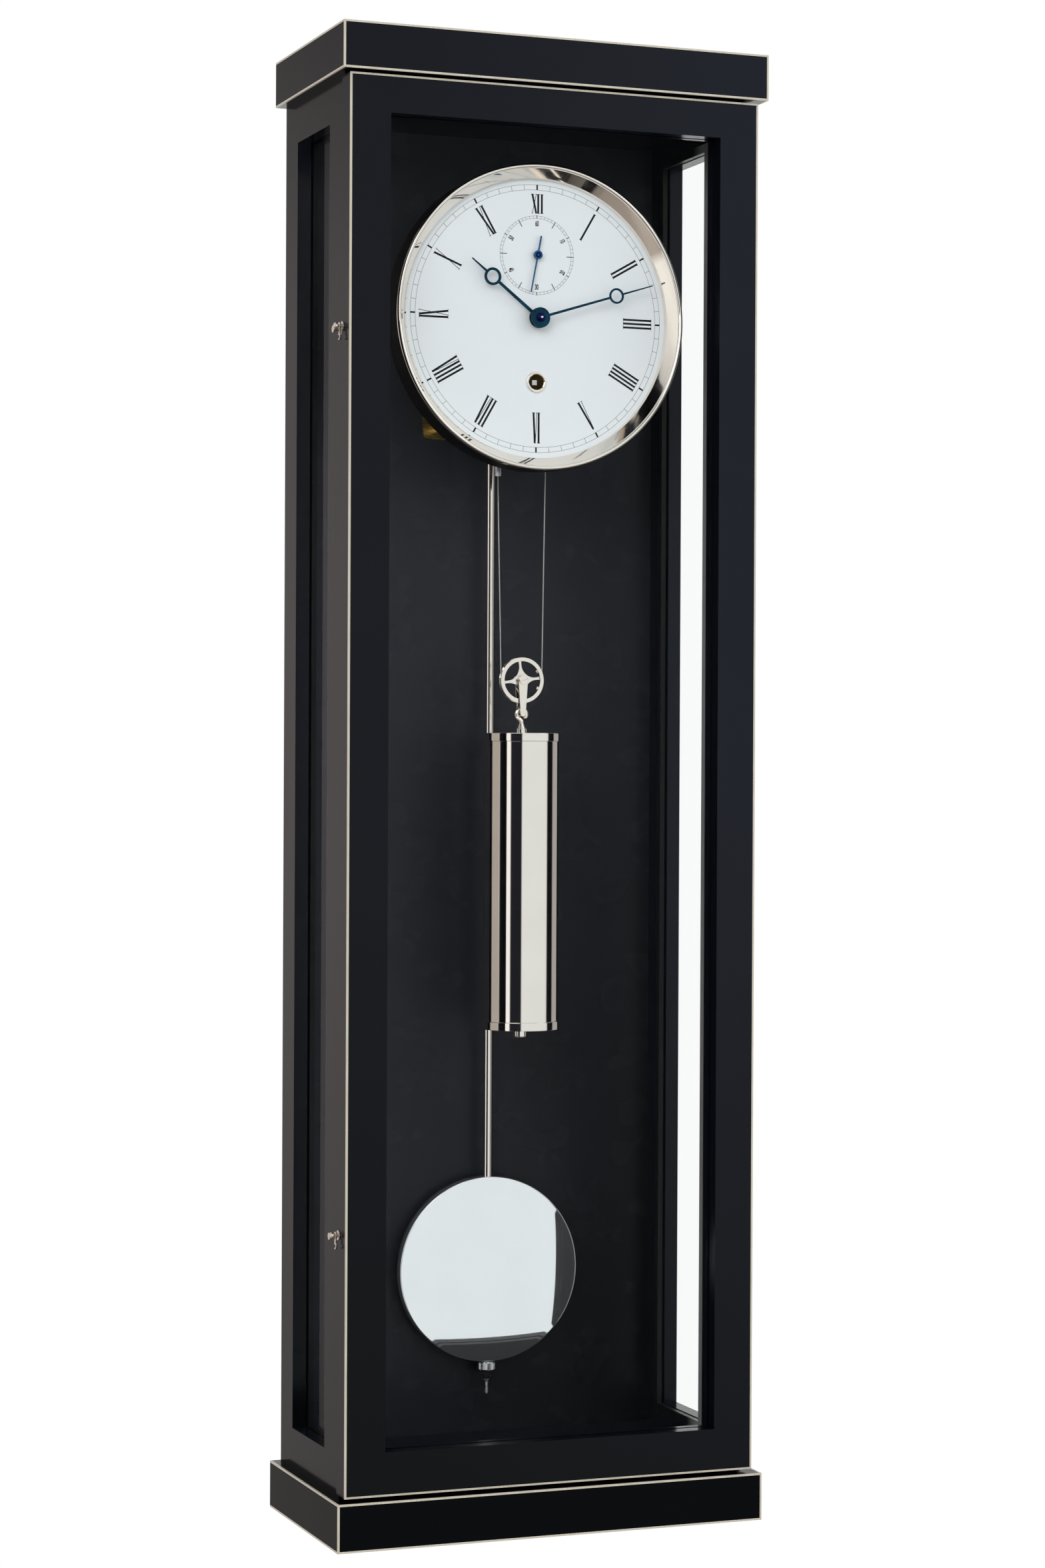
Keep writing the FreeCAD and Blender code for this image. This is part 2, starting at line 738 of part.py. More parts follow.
def plate_outline():
    half = d.plate_width / 2
    top = d.plate_top_width / 2
    low = plate_low
    high = plate_high
    corner = d.plate_corner
    bulge = corner * (1 - math.sqrt(0.5))
    return [
        (-half + corner, low), (half - corner, low, bulge), (half, low + corner),
        (half, shoulder_level), (top, high), (-top, high), (-half, shoulder_level),
        (-half, low + corner, bulge)]


def train_places():
    """Centres of the arbors, as X and height, from the gears that mesh between them."""
    centre = (0.0, float(dial_level))
    escape = (0.0, float(seconds_level))
    drum = (0.0, float(winding_level))

    def between(low, high, low_reach, high_reach, side):
        span = high[1] - low[1]
        rise = (span ** 2 + low_reach ** 2 - high_reach ** 2) / (2 * span)
        return (side * math.sqrt(low_reach ** 2 - rise ** 2), low[1] + rise)

    centre_third = n.train_module * (n.centre_teeth + n.third_pinion_teeth) / 2
    third_escape = n.train_module * (n.third_teeth + n.escape_pinion_teeth) / 2
    drum_second = n.great_module * (n.great_teeth + n.second_pinion_teeth) / 2
    second_centre = n.second_module * (n.second_teeth + n.centre_pinion_teeth) / 2
    stud_reach = n.motion_module * (n.cannon_teeth + n.minute_wheel_teeth) / 2
    stud_angle = math.radians(n.minute_stud_angle)
    return {
        "centre": centre,
        "escape": escape,
        "drum": drum,
        "third": between(centre, escape, centre_third, third_escape, 1),
        "second": between(drum, centre, drum_second, second_centre, -1),
        "anchor": (0.0, float(anchor_level)),
        "minute": (stud_reach * math.cos(stud_angle), centre[1] + stud_reach * math.sin(stud_angle)),
    }


PLACES = train_places()


def make_plates():
    half = d.plate_width / 2
    pivot = n.pivot_size + n.running_play
    pivot_holes = [(*PLACES[name], pivot) for name in ("second", "third")]
    drum_hole = (*PLACES["drum"], n.drum_arbor_radius + n.running_play)
    arbor_hole = n.arbor_radius + n.running_play
    front_holes = pivot_holes + [drum_hole, (*PLACES["anchor"], pivot)]
    front_holes += [(*PLACES[name], arbor_hole) for name in ("centre", "escape")]
    back_holes = pivot_holes + [drum_hole, (*PLACES["anchor"], arbor_hole)]
    back_holes += [(*PLACES[name], pivot) for name in ("centre", "escape")]
    front = plate(plate_outline(), d.plate_thickness, (0, front_plate_front, 0), front_holes)
    stud_radius = d.arbor_radius - d.running_play
    stud_y = (dial_back + d.minute_stud_gap, front_plate_front)
    minute_stud = round_bar("y", stud_radius, stud_y, PLACES["minute"])
    piece("front_plate", group(front, minute_stud))
    piece("back_plate", plate(plate_outline(), d.plate_thickness, (0, back_plate_front, 0), back_holes))
    pillars, posts = [], []
    for side in (-1, 1):
        x = (half - d.pillar_inset) * side
        for z in (plate_low + d.pillar_inset, shoulder_level - d.pillar_inset):
            pillars.append(round_bar("y", d.pillar_radius, (front_plate_back, back_plate_front), (x, z)))
        x = (half - d.post_inset) * side
        for z in (plate_low + d.post_inset, shoulder_level - d.pillar_inset):
            posts.append(round_bar("y", d.post_radius, (back_plate_back, case_back), (x, z)))
    piece("plate_pillars", group(*pillars))
    piece("movement_posts", group(*posts))
    cock_low = anchor_level + d.rod_top_gap / 2
    cock = block(both(d.cock_width / 2), (back_plate_back, pendulum_y + d.cock_thickness),
                 (cock_low, cock_low + d.cock_height))
    slit = block(both(d.spring_width / 2 + d.running_play),
                 (pendulum_y - d.spring_thickness / 2 - d.running_play,
                  pendulum_y + d.spring_thickness / 2 + d.running_play),
                 (cock_low, cock_low + d.cock_height))
    piece("suspension_cock", cut(cock, slit))


def make_dial():
    centre = (0, 0, dial_level)
    hour_hole = (0, 0, d.hour_pipe_radius + d.hour_hole_margin)
    seconds_hole = (0, d.arbor_spacing, d.arbor_radius + d.seconds_hole_margin)
    winding_hole = (0, -d.arbor_spacing, d.winding_hole_radius)
    disc = turned("y", [
        (0, dial_front), (dial_radius, dial_front), (dial_radius, dial_back), (0, dial_back)], centre)
    through = (dial_front, dial_back)
    holes = [round_bar("y", radius, through, (x, dial_level + z)) for x, z, radius in (
        hour_hole, seconds_hole, winding_hole)]
    feet = []
    foot_y = (dial_back, front_plate_front)
    spread = d.plate_width / 2 - d.dial_foot_inset
    for x in both(spread):
        for z in both(spread):
            feet.append(round_bar("y", d.dial_foot_radius, foot_y, (x, dial_level + z)))
    piece("dial_plate", fuse(cut(disc, *holes), *feet))
    rim = d.bezel_rim
    front = bezel_front
    outer = bezel_radius
    inner = d.dial_opening_radius
    skirt = dial_front + d.bezel_skirt
    piece("bezel", turned("y", [
        (inner, dial_front), (inner + d.bezel_lip_width, dial_front - d.bezel_lip_rise),
        (outer - rim, front + rim), (outer - rim, front + rim / 2, d.bezel_round),
        (outer, front + rim / 2), (outer, skirt),
        (can_radius, skirt), (can_radius, dial_back), (dial_radius, dial_back),
        (dial_radius, dial_front)], centre))
    can_back = dial_back + d.can_length
    piece("dial_can", turned("y", [
        (can_radius - d.can_wall, dial_back), (can_radius, dial_back), (can_radius, can_back),
        (can_radius - d.can_wall, can_back)], centre))
    lip = dial_front - d.grommet_thickness
    hole = d.winding_hole_radius
    inside = hole - d.grommet_lip
    outside = hole + d.grommet_flange
    edge = d.grommet_edge
    piece("winding_grommet", turned("y", [
        (inside, lip + edge), (hole, lip), (outside - edge, lip), (outside, lip + edge),
        (outside, dial_front), (hole, dial_front), (hole, dial_back), (inside, dial_back)],
        (0, 0, winding_level)))


def hand(length, ring_distance, ring_radius, ring_wall, arm_width):
    """A hand with an open ring near its end, pointing up from its boss at the origin."""
    back = d.hand_thickness
    boss = round_bar("y", d.hand_boss_radius, (0, back), (0, 0))
    ring = round_bar("y", ring_radius, (0, back), (0, ring_distance))
    tip = d.hand_tip_width / 2
    neck = arm_width / 2
    thin = neck * d.hand_taper
    arm = plate([
        (-neck, 0), (neck, 0), (thin, ring_distance), (tip, length), (-tip, length),
        (-thin, ring_distance)], back, (0, 0, 0))
    window = round_bar("y", ring_radius - ring_wall, (0, back), (0, ring_distance))
    return fuse(boss, ring, arm), window


def aim(feature, front, height_level, angle):
    place(feature, 0, front, height_level, Rotation(Vector(0, 1, 0), float(angle)))


def make_hands():
    through = (0, d.hand_thickness)
    bore = d.hour_pipe_radius
    shape, window = hand(d.hour_hand_length, d.hour_ring_distance, d.hour_ring_radius,
                         d.hour_ring_wall, d.hour_arm_width)
    hour = piece("hour_hand", cut(shape, window, round_bar("y", bore, through, (0, 0))))
    aim(hour, hour_hand_front, dial_level, d.hour_angle)
    shape, window = hand(d.minute_hand_length, d.minute_ring_distance, d.minute_ring_radius,
                         d.minute_ring_wall, d.minute_arm_width)
    minute = piece("minute_hand", cut(shape, window, round_bar("y", d.cannon_radius, through, (0, 0))))
    aim(minute, minute_hand_front, dial_level, d.minute_angle)
    tail = d.seconds_tail_width / 2
    neck = d.seconds_arm_width / 2
    tip = d.hand_tip_width / 2
    arm = plate([
        (-tail, -d.seconds_tail_length), (tail, -d.seconds_tail_length), (neck, 0),
        (tip, d.seconds_hand_length), (-tip, d.seconds_hand_length), (-neck, 0)], d.hand_thickness, (0, 0, 0))
    boss = round_bar("y", d.seconds_boss_radius, (-d.hand_thickness, d.hand_thickness), (0, 0))
    seconds_bore = round_bar("y", d.arbor_radius, (0, d.hand_thickness), (0, 0))
    seconds = piece("seconds_hand", cut(fuse(arm, boss), seconds_bore))
    aim(seconds, seconds_hand_front, seconds_level, d.seconds_angle)
    nut_seat = minute_hand_front
    nut_front = nut_seat - d.hand_nut_height
    nut_bottom = nut_seat - d.centre_arbor_end - d.shake
    bore = d.arbor_radius + d.running_play
    piece("hand_nut", turned("y", [
        (0, nut_front, d.hand_nut_dome), (d.hand_nut_radius, nut_seat - d.hand_nut_side),
        (d.hand_nut_radius, nut_seat), (bore, nut_seat), (bore, nut_bottom), (0, nut_bottom)],
        (0, 0, dial_level)))


def make_weight():
    x = d.weight_offset
    y = weight_y
    high = weight_top
    low = high - d.weight_length
    cap = d.weight_cap_height
    radius = d.weight_radius
    inside = radius - d.weight_wall
    piece("weight_tube", turned("z", [
        (inside, low + cap), (radius, low + cap), (radius, high - cap), (inside, high - cap)], (x, y, 0)))
    core_radius = inside - d.running_play
    piece("weight_core", round_bar("z", core_radius, (low + cap, high - cap), (x, y)))
    cap_radius = radius + d.weight_cap_overhang
    nut_low = low - d.weight_nut_height
    nut_radius = d.weight_nut_radius
    nut_round = d.weight_nut_round
    lower_cap = fuse(
        round_bar("z", cap_radius, (low, low + cap), (x, y)),
        turned("z", [
            (0, nut_low), (nut_radius - nut_round, nut_low, nut_round * (1 - math.sqrt(0.5))),
            (nut_radius, nut_low + nut_round), (nut_radius, low), (0, low)], (x, y, 0)))
    upper_cap = round_bar("z", cap_radius, (high - cap, high), (x, y))
    piece("weight_caps", group(lower_cap, upper_cap))


def make_hook():
    """Open hook on the weight's collar: most of a ring, and a stem that leaves it straight on."""
    x = d.weight_offset
    y = weight_y
    ring = d.hook_ring
    wire = d.hook_wire
    ring_level = pin_level + d.stirrup_pin_radius - ring + wire
    loop = doc.addObject("Part::Torus", "loop")
    loop.setExpression("Radius1", ring.text)
    loop.setExpression("Radius2", wire.text)
    loop.setExpression("Angle3", (d.hook_stem_angle - d.hook_tip_angle).text)
    place(loop, x, y, ring_level, TURN_TO["y"].multiply(Rotation(Vector(0, 0, 1), -n.hook_stem_angle)))
    tip_turn = math.radians(n.hook_tip_angle)
    stem_turn = math.radians(n.hook_stem_angle)
    tip = doc.addObject("Part::Sphere", "tip")
    tip.setExpression("Radius", wire.text)
    place(tip, x + ring * math.cos(tip_turn), y, ring_level + ring * math.sin(tip_turn))
    stem = doc.addObject("Part::Cylinder", "stem")
    stem.setExpression("Radius", wire.text)
    stem.setExpression("Height", (ring / math.tan(stem_turn)).text)
    lean = Rotation(Vector(0, 0, 1), Vector(-math.sin(stem_turn), 0, math.cos(stem_turn)))
    place(stem, x + ring * math.cos(stem_turn), y, ring_level + ring * math.sin(stem_turn), lean)
    knee_level = ring_level + ring / math.sin(stem_turn)
    knee = doc.addObject("Part::Sphere", "knee")
    knee.setExpression("Radius", wire.text)
    place(knee, x, y, knee_level)
    collar_top = weight_top + d.collar_height
    cone_top = collar_top + d.hook_cone_height
    foot = turned("z", [
        (0, weight_top), (d.collar_radius, weight_top), (d.collar_radius, collar_top),
        (d.hook_cone_radius, collar_top), (wire, cone_top), (wire, knee_level), (0, knee_level)], (x, y, 0))
    piece("weight_hook", fuse(loop, tip, stem, knee, foot))


def spider(reach):
    """Four spokes with a foot at the rim, and a quarter round between each two."""
    half = d.pulley_spoke / 2
    foot = d.spoke_foot / 2
    start = d.spoke_flare
    bulge = (start - half) * (1 - math.sqrt(0.5))
    spoke = [(start, -half), (reach - d.spoke_foot_height, -half), (reach, -foot), (reach, foot),
             (reach - d.spoke_foot_height, half), (start, half)]
    outline = []
    for quarter in range(4):
        outline += spoke[:-1] + [(*spoke[-1], -bulge)]
        spoke = [(-across, along) for along, across in spoke]
    return outline


def make_pulley():
    x = d.weight_offset
    y = weight_y
    z = pulley_level
    half = d.pulley_thickness / 2
    outer = d.pulley_radius
    groove = outer - d.groove_depth
    rim_inner = outer - d.pulley_rim
    wide = d.groove_half_width
    floor = d.groove_half_floor
    rim = turned("y", [
        (rim_inner, -half), (outer, -half), (outer, -wide), (groove, -floor), (groove, floor), (outer, wide),
        (outer, half), (rim_inner, half)], (x, y, z))
    hub = round_bar("y", d.pulley_hub, (y - half, y + half), (x, z))
    spokes = plate(spider(rim_inner + d.spoke_sink), d.spoke_thickness, (x, y - d.spoke_thickness / 2, z),
                   rotation=Rotation(Vector(0, 1, 0), n.spoke_angle))
    bore = round_bar("y", d.pulley_axle_radius + d.running_play, (y - half, y + half), (x, z))
    piece("pulley_wheel", cut(fuse(rim, hub, spokes), bore))
    cheek_front = y - half - d.pulley_side_play - d.stirrup_thickness
    cheek_back = y + half + d.pulley_side_play
    top = d.stirrup_top_width / 2
    bottom = d.stirrup_bottom_width / 2
    outline = [
        (-bottom, -d.stirrup_length, bottom * ROUND_END), (bottom, -d.stirrup_length),
        (top, 0, top * ROUND_END), (-top, 0)]
    cheeks = []
    for at_y in (cheek_front, cheek_back):
        cheeks.append(plate(outline, d.stirrup_thickness, (x, at_y, z), [(0, 0, d.pulley_axle_radius)]))
    screw_end = cheek_back + d.stirrup_thickness
    cross_pin = round_bar("y", d.stirrup_pin_radius, (cheek_front, screw_end), (x, pin_level))
    piece("pulley_stirrup", fuse(*cheeks, cross_pin))
    head = cheek_front - d.axle_head_height
    head_radius = d.axle_head_radius
    axle = d.pulley_axle_radius
    screw = turned("y", [
        (0, head), (head_radius, head), (head_radius, cheek_front), (axle, cheek_front), (axle, screw_end),
        (0, screw_end)], (x, 0, z))
    slot = d.slot_width / 2
    slot_outline = [(-slot, -head_radius), (slot, -head_radius), (slot, head_radius), (-slot, head_radius)]
    slot_turn = Rotation(Vector(0, 1, 0), n.slot_angle)
    slot_cut = plate(slot_outline, d.slot_depth, (x, head, z), rotation=slot_turn)
    piece("pulley_screw", cut(screw, slot_cut))


def dome_bulge(radius, sag):
    """How far half a dome's arc stands out from the straight line between its middle and its edge."""
    half_chord = (radius * radius + sag * sag).root() / 2
    ball = half_chord * half_chord * 2 / sag
    return ball - (ball * ball - half_chord * half_chord).root()


def make_pendulum():
    y = pendulum_y
    rod_top = anchor_level - d.rod_top_gap
    bob_level = level(d.bob_height)
    nut_high = bob_level - d.bob_radius
    nut_low = nut_high - d.nut_height
    half_rim = d.bob_rim / 2
    face_radius = d.bob_radius - d.bob_edge
    bulge = dome_bulge(face_radius, d.bob_sag)
    lens = turned("y", [
        (0, -half_rim - d.bob_sag, bulge), (face_radius, -half_rim),
        (d.bob_radius, d.bob_edge - half_rim), (d.bob_radius, half_rim - d.bob_edge),
        (face_radius, half_rim, bulge), (0, half_rim + d.bob_sag)],
        (0, y, bob_level))
    channel_radius = d.rod_radius + d.running_play
    channel = round_bar("z", channel_radius, (bob_level - d.bob_radius, bob_level + d.bob_radius), (0, y))
    piece("pendulum_bob", cut(lens, channel))
    rod_low = nut_high + d.rod_overrun
    cone_high = nut_low - d.nut_play
    cone_low = cone_high - d.tip_cone_height
    tip_low = cone_low - d.tip_reach
    spindle = d.spindle_radius
    rod = d.rod_radius
    piece("pendulum_rod", turned("z", [
        (0, tip_low), (spindle, tip_low), (spindle, rod_low), (rod, rod_low), (rod, rod_top), (0, rod_top)],
        (0, y, 0)))
    piece("rod_tip", turned("z", [
        (spindle, cone_low), (d.tip_end_radius, cone_low), (d.tip_cone_radius, cone_high),
        (spindle, cone_high)], (0, y, 0)))
    grip = d.nut_radius
    bore = spindle + d.running_play
    edge = d.nut_chamfer
    nut_top = nut_high - d.nut_play
    piece("rating_nut", turned("z", [
        (bore, nut_low), (grip - edge, nut_low), (grip, nut_low + edge), (grip, nut_top - edge),
        (grip - edge, nut_top), (bore, nut_top)], (0, y, 0)))
    half = d.spring_thickness / 2
    piece("suspension_spring", block(
        both(d.spring_width / 2), (y - half, y + half),
        (rod_top, anchor_level + d.rod_top_gap / 2 + d.cock_height)))


def straight_bar(start, end, radius):
    return Part.makeCylinder(radius, (end - start).Length, start, end - start)


def made(label, shape, x=0.0, y=0.0, z=0.0, turn=0.0):
    feature = doc.addObject("Part::Feature", label)
    feature.Shape = shape
    feature.Placement = Placement(Vector(x, y, z), Rotation(Vector(0, 1, 0), turn))
    return piece(label, feature)


def make_cable():
    """Two straight runs and the half turn under the pulley."""
    y = float(weight_y)
    pulley = Vector(n.weight_offset, y, float(pulley_level))
    bend = float(cable_x) - n.weight_offset
    ferrule_top = float(dial_level) - n.anchor_drop
    drum_side = Vector(n.drum_radius + n.cable_play + n.cable_radius, y, float(winding_level))
    fixed_side = Vector(-n.anchor_offset, y, ferrule_top - n.ferrule_length)
    made("cable_runs", Part.makeCompound([
        straight_bar(pulley + Vector(bend, 0, n.running_play), drum_side, n.cable_radius),
        straight_bar(pulley + Vector(-bend, 0, n.running_play), fixed_side, n.cable_radius)]))
    circle = Part.makeCircle(n.cable_radius, pulley + Vector(bend, 0, 0), Vector(0, 0, 1))
    section = Part.Face(Part.Wire(circle))
    made("cable_pulley_bend", section.revolve(pulley, Vector(0, 1, 0), 180))
    x = -n.anchor_offset
    eye_level = float(dial_level) - n.cable_pillar_drop
    eye_radius = n.cable_pillar_radius + n.strap_thickness
    half = n.strap_width / 2
    ferrule = Part.makeCylinder(
        n.ferrule_radius, n.ferrule_length, Vector(x, y, ferrule_top - n.ferrule_length), Vector(0, 0, 1))
    strap = Part.makeBox(
        n.strap_thickness, n.strap_width, eye_level - ferrule_top + n.strap_sink,
        Vector(x - n.strap_thickness / 2, y - half, ferrule_top - n.strap_sink))
    eye_start = Vector(x, y - half, eye_level)
    eye = Part.makeCylinder(eye_radius, n.strap_width, eye_start, Vector(0, 1, 0))
    hole_radius = n.cable_pillar_radius + n.running_play
    hole = Part.makeCylinder(hole_radius, n.strap_width, eye_start, Vector(0, 1, 0))
    hanger = ferrule.fuse([strap, eye]).cut(hole)
    pillar_start = Vector(x, float(front_plate_back), eye_level)
    pillar = Part.makeCylinder(n.cable_pillar_radius, float(plate_gap), pillar_start, Vector(0, 1, 0))
    made("cable_anchor", Part.makeCompound([hanger, pillar]))


def outline_solid(points, thickness):
    corners = [Vector(x, 0, z) for x, z in points]
    face = Part.Face(Part.makePolygon(corners + corners[:1]))
    return face.extrude(Vector(0, thickness, 0))


def polar(radius, degrees):
    angle = math.radians(degrees)
    return (radius * math.cos(angle), radius * math.sin(angle))


# Shares of a tooth's pitch from its middle, and tooth heights in modules
TOOTH_TIP = 0.085
TOOTH_ROOT = 0.255
ADDENDUM = 0.95
DEDENDUM = 1.3
ESCAPE_BACK = 0.30
ESCAPE_TIP = 0.06
ESCAPE_FRONT = 0.12


def gear(teeth, module, thickness, phase):
    """A straight-sided gear; phase is the angle of a tooth's middle."""
    count = int(teeth)
    pitch = 360 / count
    tip = module * (count / 2 + ADDENDUM)
    root = module * (count / 2 - DEDENDUM)
    points = []
    for index in range(count):
        middle = phase + pitch * index
        for radius, share in ((root, -TOOTH_ROOT), (tip, -TOOTH_TIP), (tip, TOOTH_TIP), (root, TOOTH_ROOT)):
            points.append(polar(radius, middle + pitch * share))
    return outline_solid(points, thickness)


def disc(radius, thickness):
    return Part.makeCylinder(radius, thickness, Vector(0, 0, 0), Vector(0, 1, 0))


def crossed(blank, rim_inner, hub_radius, thickness):
    """Cuts the windows between a wheel's spokes out of its blank."""
    windows = disc(rim_inner, thickness).cut(disc(hub_radius, thickness))
    spokes = int(n.wheel_spokes)
    width = n.wheel_spoke_width
    for index in range(spokes):
        arm = Part.makeBox(rim_inner, thickness, width, Vector(0, 0, -width / 2))
        arm.rotate(Vector(0, 0, 0), Vector(0, 1, 0), 360 * index / spokes + n.wheel_spoke_turn)
        windows = windows.cut(arm)
    return blank.cut(windows)


def spindle_solid(steps):
    """A turned arbor from the Y where each step starts and its radius; the last entry only ends it."""
    corners = [Vector(0, steps[0][0], 0)]
    for (start, radius), (end, _) in zip(steps, steps[1:]):
        corners += [Vector(radius, start, 0), Vector(radius, end, 0)]
    corners.append(Vector(0, steps[-1][0], 0))
    face = Part.Face(Part.makePolygon(corners + corners[:1]))
    return face.revolve(Vector(0, 0, 0), Vector(0, 1, 0), 360)


def meshed_phase(name, other, phase, teeth, other_teeth):
    """Phase of the other gear so that its gap faces this gear's tooth."""
    (x, z), (other_x, other_z) = PLACES[name], PLACES[other]
    line = math.degrees(math.atan2(other_z - z, other_x - x))
    share = (line - phase) * teeth / 360
    return line + 180 - (0.5 - share) * 360 / other_teeth


def wheel_layer(layer):
    """Y where the wheel of a layer starts, counted back from the cable drum."""
    drum_back = float(weight_y) + n.drum_width / 2 + n.drum_flange_thickness
    return drum_back + n.great_wheel_gap + n.layer_pitch * layer


def pinion_start(layer):
    return wheel_layer(layer) + n.wheel_thickness / 2 - n.pinion_face / 2


def wheel_on_arbor(label, place_name, wheel_teeth, module, layer, pinion, steps):
    """A crossed wheel and its arbor; pinion gives teeth, module, layer and phase, or is None."""
    teeth, phase = wheel_teeth
    thickness = n.wheel_thickness
    rim_inner = module * (teeth / 2 - DEDENDUM) - n.wheel_rim
    wheel = crossed(gear(teeth, module, thickness, phase), rim_inner, n.wheel_hub_radius, thickness)
    wheel = wheel.cut(disc(n.arbor_radius, thickness))
    wheel.translate(Vector(0, wheel_layer(layer), 0))
    arbor = spindle_solid(steps)
    if pinion:
        leaves = gear(pinion[0], pinion[1], n.pinion_face, pinion[3])
        leaves.translate(Vector(0, pinion_start(pinion[2]), 0))
        arbor = arbor.fuse(leaves)
    x, z = PLACES[place_name]
    made(label, Part.makeCompound([wheel, arbor]), x, 0.0, z)


def make_train():
    front = float(front_plate_back)
    back = float(back_plate_front)
    thickness = n.plate_thickness
    body = n.arbor_radius
    pivot = n.pivot_size
    inner = [
        (front - thickness, pivot), (front + n.shake, body), (back - n.shake, pivot), (back + thickness, 0)]
    great_phase = 0.0
    second_phase = 0.0
    centre_phase = 0.0
    third_phase = 0.0
    second_pinion = meshed_phase("drum", "second", great_phase, n.great_teeth, n.second_pinion_teeth)
    centre_pinion = meshed_phase("second", "centre", second_phase, n.second_teeth, n.centre_pinion_teeth)
    third_pinion = meshed_phase("centre", "third", centre_phase, n.centre_teeth, n.third_pinion_teeth)
    escape_pinion = meshed_phase("third", "escape", third_phase, n.third_teeth, n.escape_pinion_teeth)
    make_drum(great_phase)
    wheel_on_arbor("second_wheel", "second", (n.second_teeth, second_phase), n.second_module, 1,
                   (n.second_pinion_teeth, n.great_module, 0, second_pinion), inner)
    centre_front = float(minute_hand_front) - n.centre_arbor_end
    centre_steps = [(centre_front, body), (back - n.shake, pivot), (back + thickness, 0)]
    wheel_on_arbor("centre_wheel", "centre", (n.centre_teeth, centre_phase), n.train_module, 2,
                   (n.centre_pinion_teeth, n.second_module, 1, centre_pinion), centre_steps)
    wheel_on_arbor("third_wheel", "third", (n.third_teeth, third_phase), n.train_module, 3,
                   (n.third_pinion_teeth, n.train_module, 2, third_pinion), inner)
    make_escapement(escape_pinion)


def make_drum(great_phase):
    """Grooved cable drum on the winding arbor, and the great wheel behind it."""
    x, z = PLACES["drum"]
    middle = float(weight_y)
    half = n.drum_width / 2
    rise = n.drum_radius + n.drum_flange
    edge = n.drum_flange_thickness
    square_end = float(front_plate_front) - n.winding_reach
    plate_back_end = float(back_plate_front) + n.plate_thickness
    arbor = n.drum_arbor_radius
    barrel = spindle_solid([
        (float(front_plate_front), arbor), (middle - half - edge, rise),
        (middle - half, n.drum_radius), (middle + half, rise), (middle + half + edge, arbor),
        (plate_back_end, 0)])
    side = n.winding_square
    square = Part.makeBox(side, n.winding_reach, side, Vector(-side / 2, square_end, -side / 2))
    made("cable_drum", barrel.fuse(square), x, 0.0, z)
    rim_inner = n.great_module * (n.great_teeth / 2 - DEDENDUM) - n.great_rim
    thickness = n.wheel_thickness
    blank = gear(n.great_teeth, n.great_module, thickness, great_phase)
    wheel = crossed(blank, rim_inner, n.great_hub_radius, thickness)
    wheel = wheel.cut(disc(arbor + n.running_play, thickness))
    made("great_wheel", wheel, x, wheel_layer(0), z)


def make_escapement(escape_pinion):
    """Escape wheel with raked teeth, and the anchor whose pallets straddle it."""
    back = float(back_plate_front)
    front_end = float(seconds_hand_front) + n.hand_thickness / 2
    x, z = PLACES["escape"]
    count = int(n.escape_teeth)
    pitch = 360 / count
    root = n.escape_radius - n.escape_tooth_height
    points = []
    for index in range(count):
        middle = pitch * index
        points.append(polar(root, middle - pitch * ESCAPE_BACK))
        points.append(polar(n.escape_radius, middle))
        points.append(polar(n.escape_radius, middle + pitch * ESCAPE_TIP))
        points.append(polar(root, middle + pitch * ESCAPE_FRONT))
    thickness = n.escape_thickness
    layer_y = back - n.escape_back_gap - thickness
    wheel = crossed(outline_solid(points, thickness), root - n.escape_rim, n.escape_hub_radius, thickness)
    wheel = wheel.cut(disc(n.arbor_radius, thickness))
    wheel.translate(Vector(0, layer_y, 0))
    arbor = spindle_solid([
        (front_end, n.arbor_radius), (back - n.shake, n.pivot_size), (back + n.plate_thickness, 0)])
    leaves = gear(n.escape_pinion_teeth, n.train_module, n.pinion_face, escape_pinion)
    leaves.translate(Vector(0, pinion_start(3), 0))
    made("escape_wheel", Part.makeCompound([wheel, arbor.fuse(leaves)]), x, 0.0, z)
    make_anchor(layer_y, thickness)


def make_anchor(layer_y, thickness):
    """Anchor on its arbor with the crutch that reaches down to the pendulum rod."""
    back = float(back_plate_back)
    x, z = PLACES["anchor"]
    near = n.escape_radius + n.pallet_clearance
    drop = -n.anchor_distance
    tips = []
    for side in (-1, 1):
        tip_x, tip_z = polar(near, 90 - side * n.pallet_span)
        out_x, out_z = polar(near + n.pallet_width, 90 - side * n.pallet_span)
        heel = (out_x + side * n.pallet_heel, drop + out_z + n.pallet_heel_rise)
        toe = (tip_x - side * n.pallet_toe, drop + tip_z + n.pallet_toe_rise)
        face = [(out_x, drop + out_z), (tip_x, drop + tip_z)]
        arm = [(0, n.anchor_rise), heel, *face, toe, (0, -n.anchor_sink)]
        tips.append(outline_solid(arm if side > 0 else arm[::-1], thickness))
    hub = disc(n.anchor_hub_radius, thickness)
    pallets = tips[0].fuse([tips[1], hub])
    pallets.translate(Vector(0, layer_y, 0))
    front = float(front_plate_back)
    crutch_y = back + n.crutch_gap
    slab = n.crutch_thickness
    arbor = spindle_solid([
        (front - n.plate_thickness, n.pivot_size), (front + n.shake, n.arbor_radius), (crutch_y + slab, 0)])
    width = n.crutch_width
    lever = Part.makeBox(width, slab, n.crutch_length, Vector(-width / 2, crutch_y, -n.crutch_length))
    reach = float(pendulum_y) + n.rod_radius - crutch_y
    gap = n.rod_radius + n.fork_play
    fork_z = -n.crutch_length
    bar = Part.makeBox(2 * gap + 2 * width, slab, width, Vector(-gap - width, crutch_y, fork_z))
    sides = (-gap - width, gap)
    tines = [Part.makeBox(width, reach, width, Vector(side, crutch_y, fork_z)) for side in sides]
    anchor = pallets.fuse([arbor, lever, bar, *tines])
    made("anchor", anchor, x, 0.0, z)


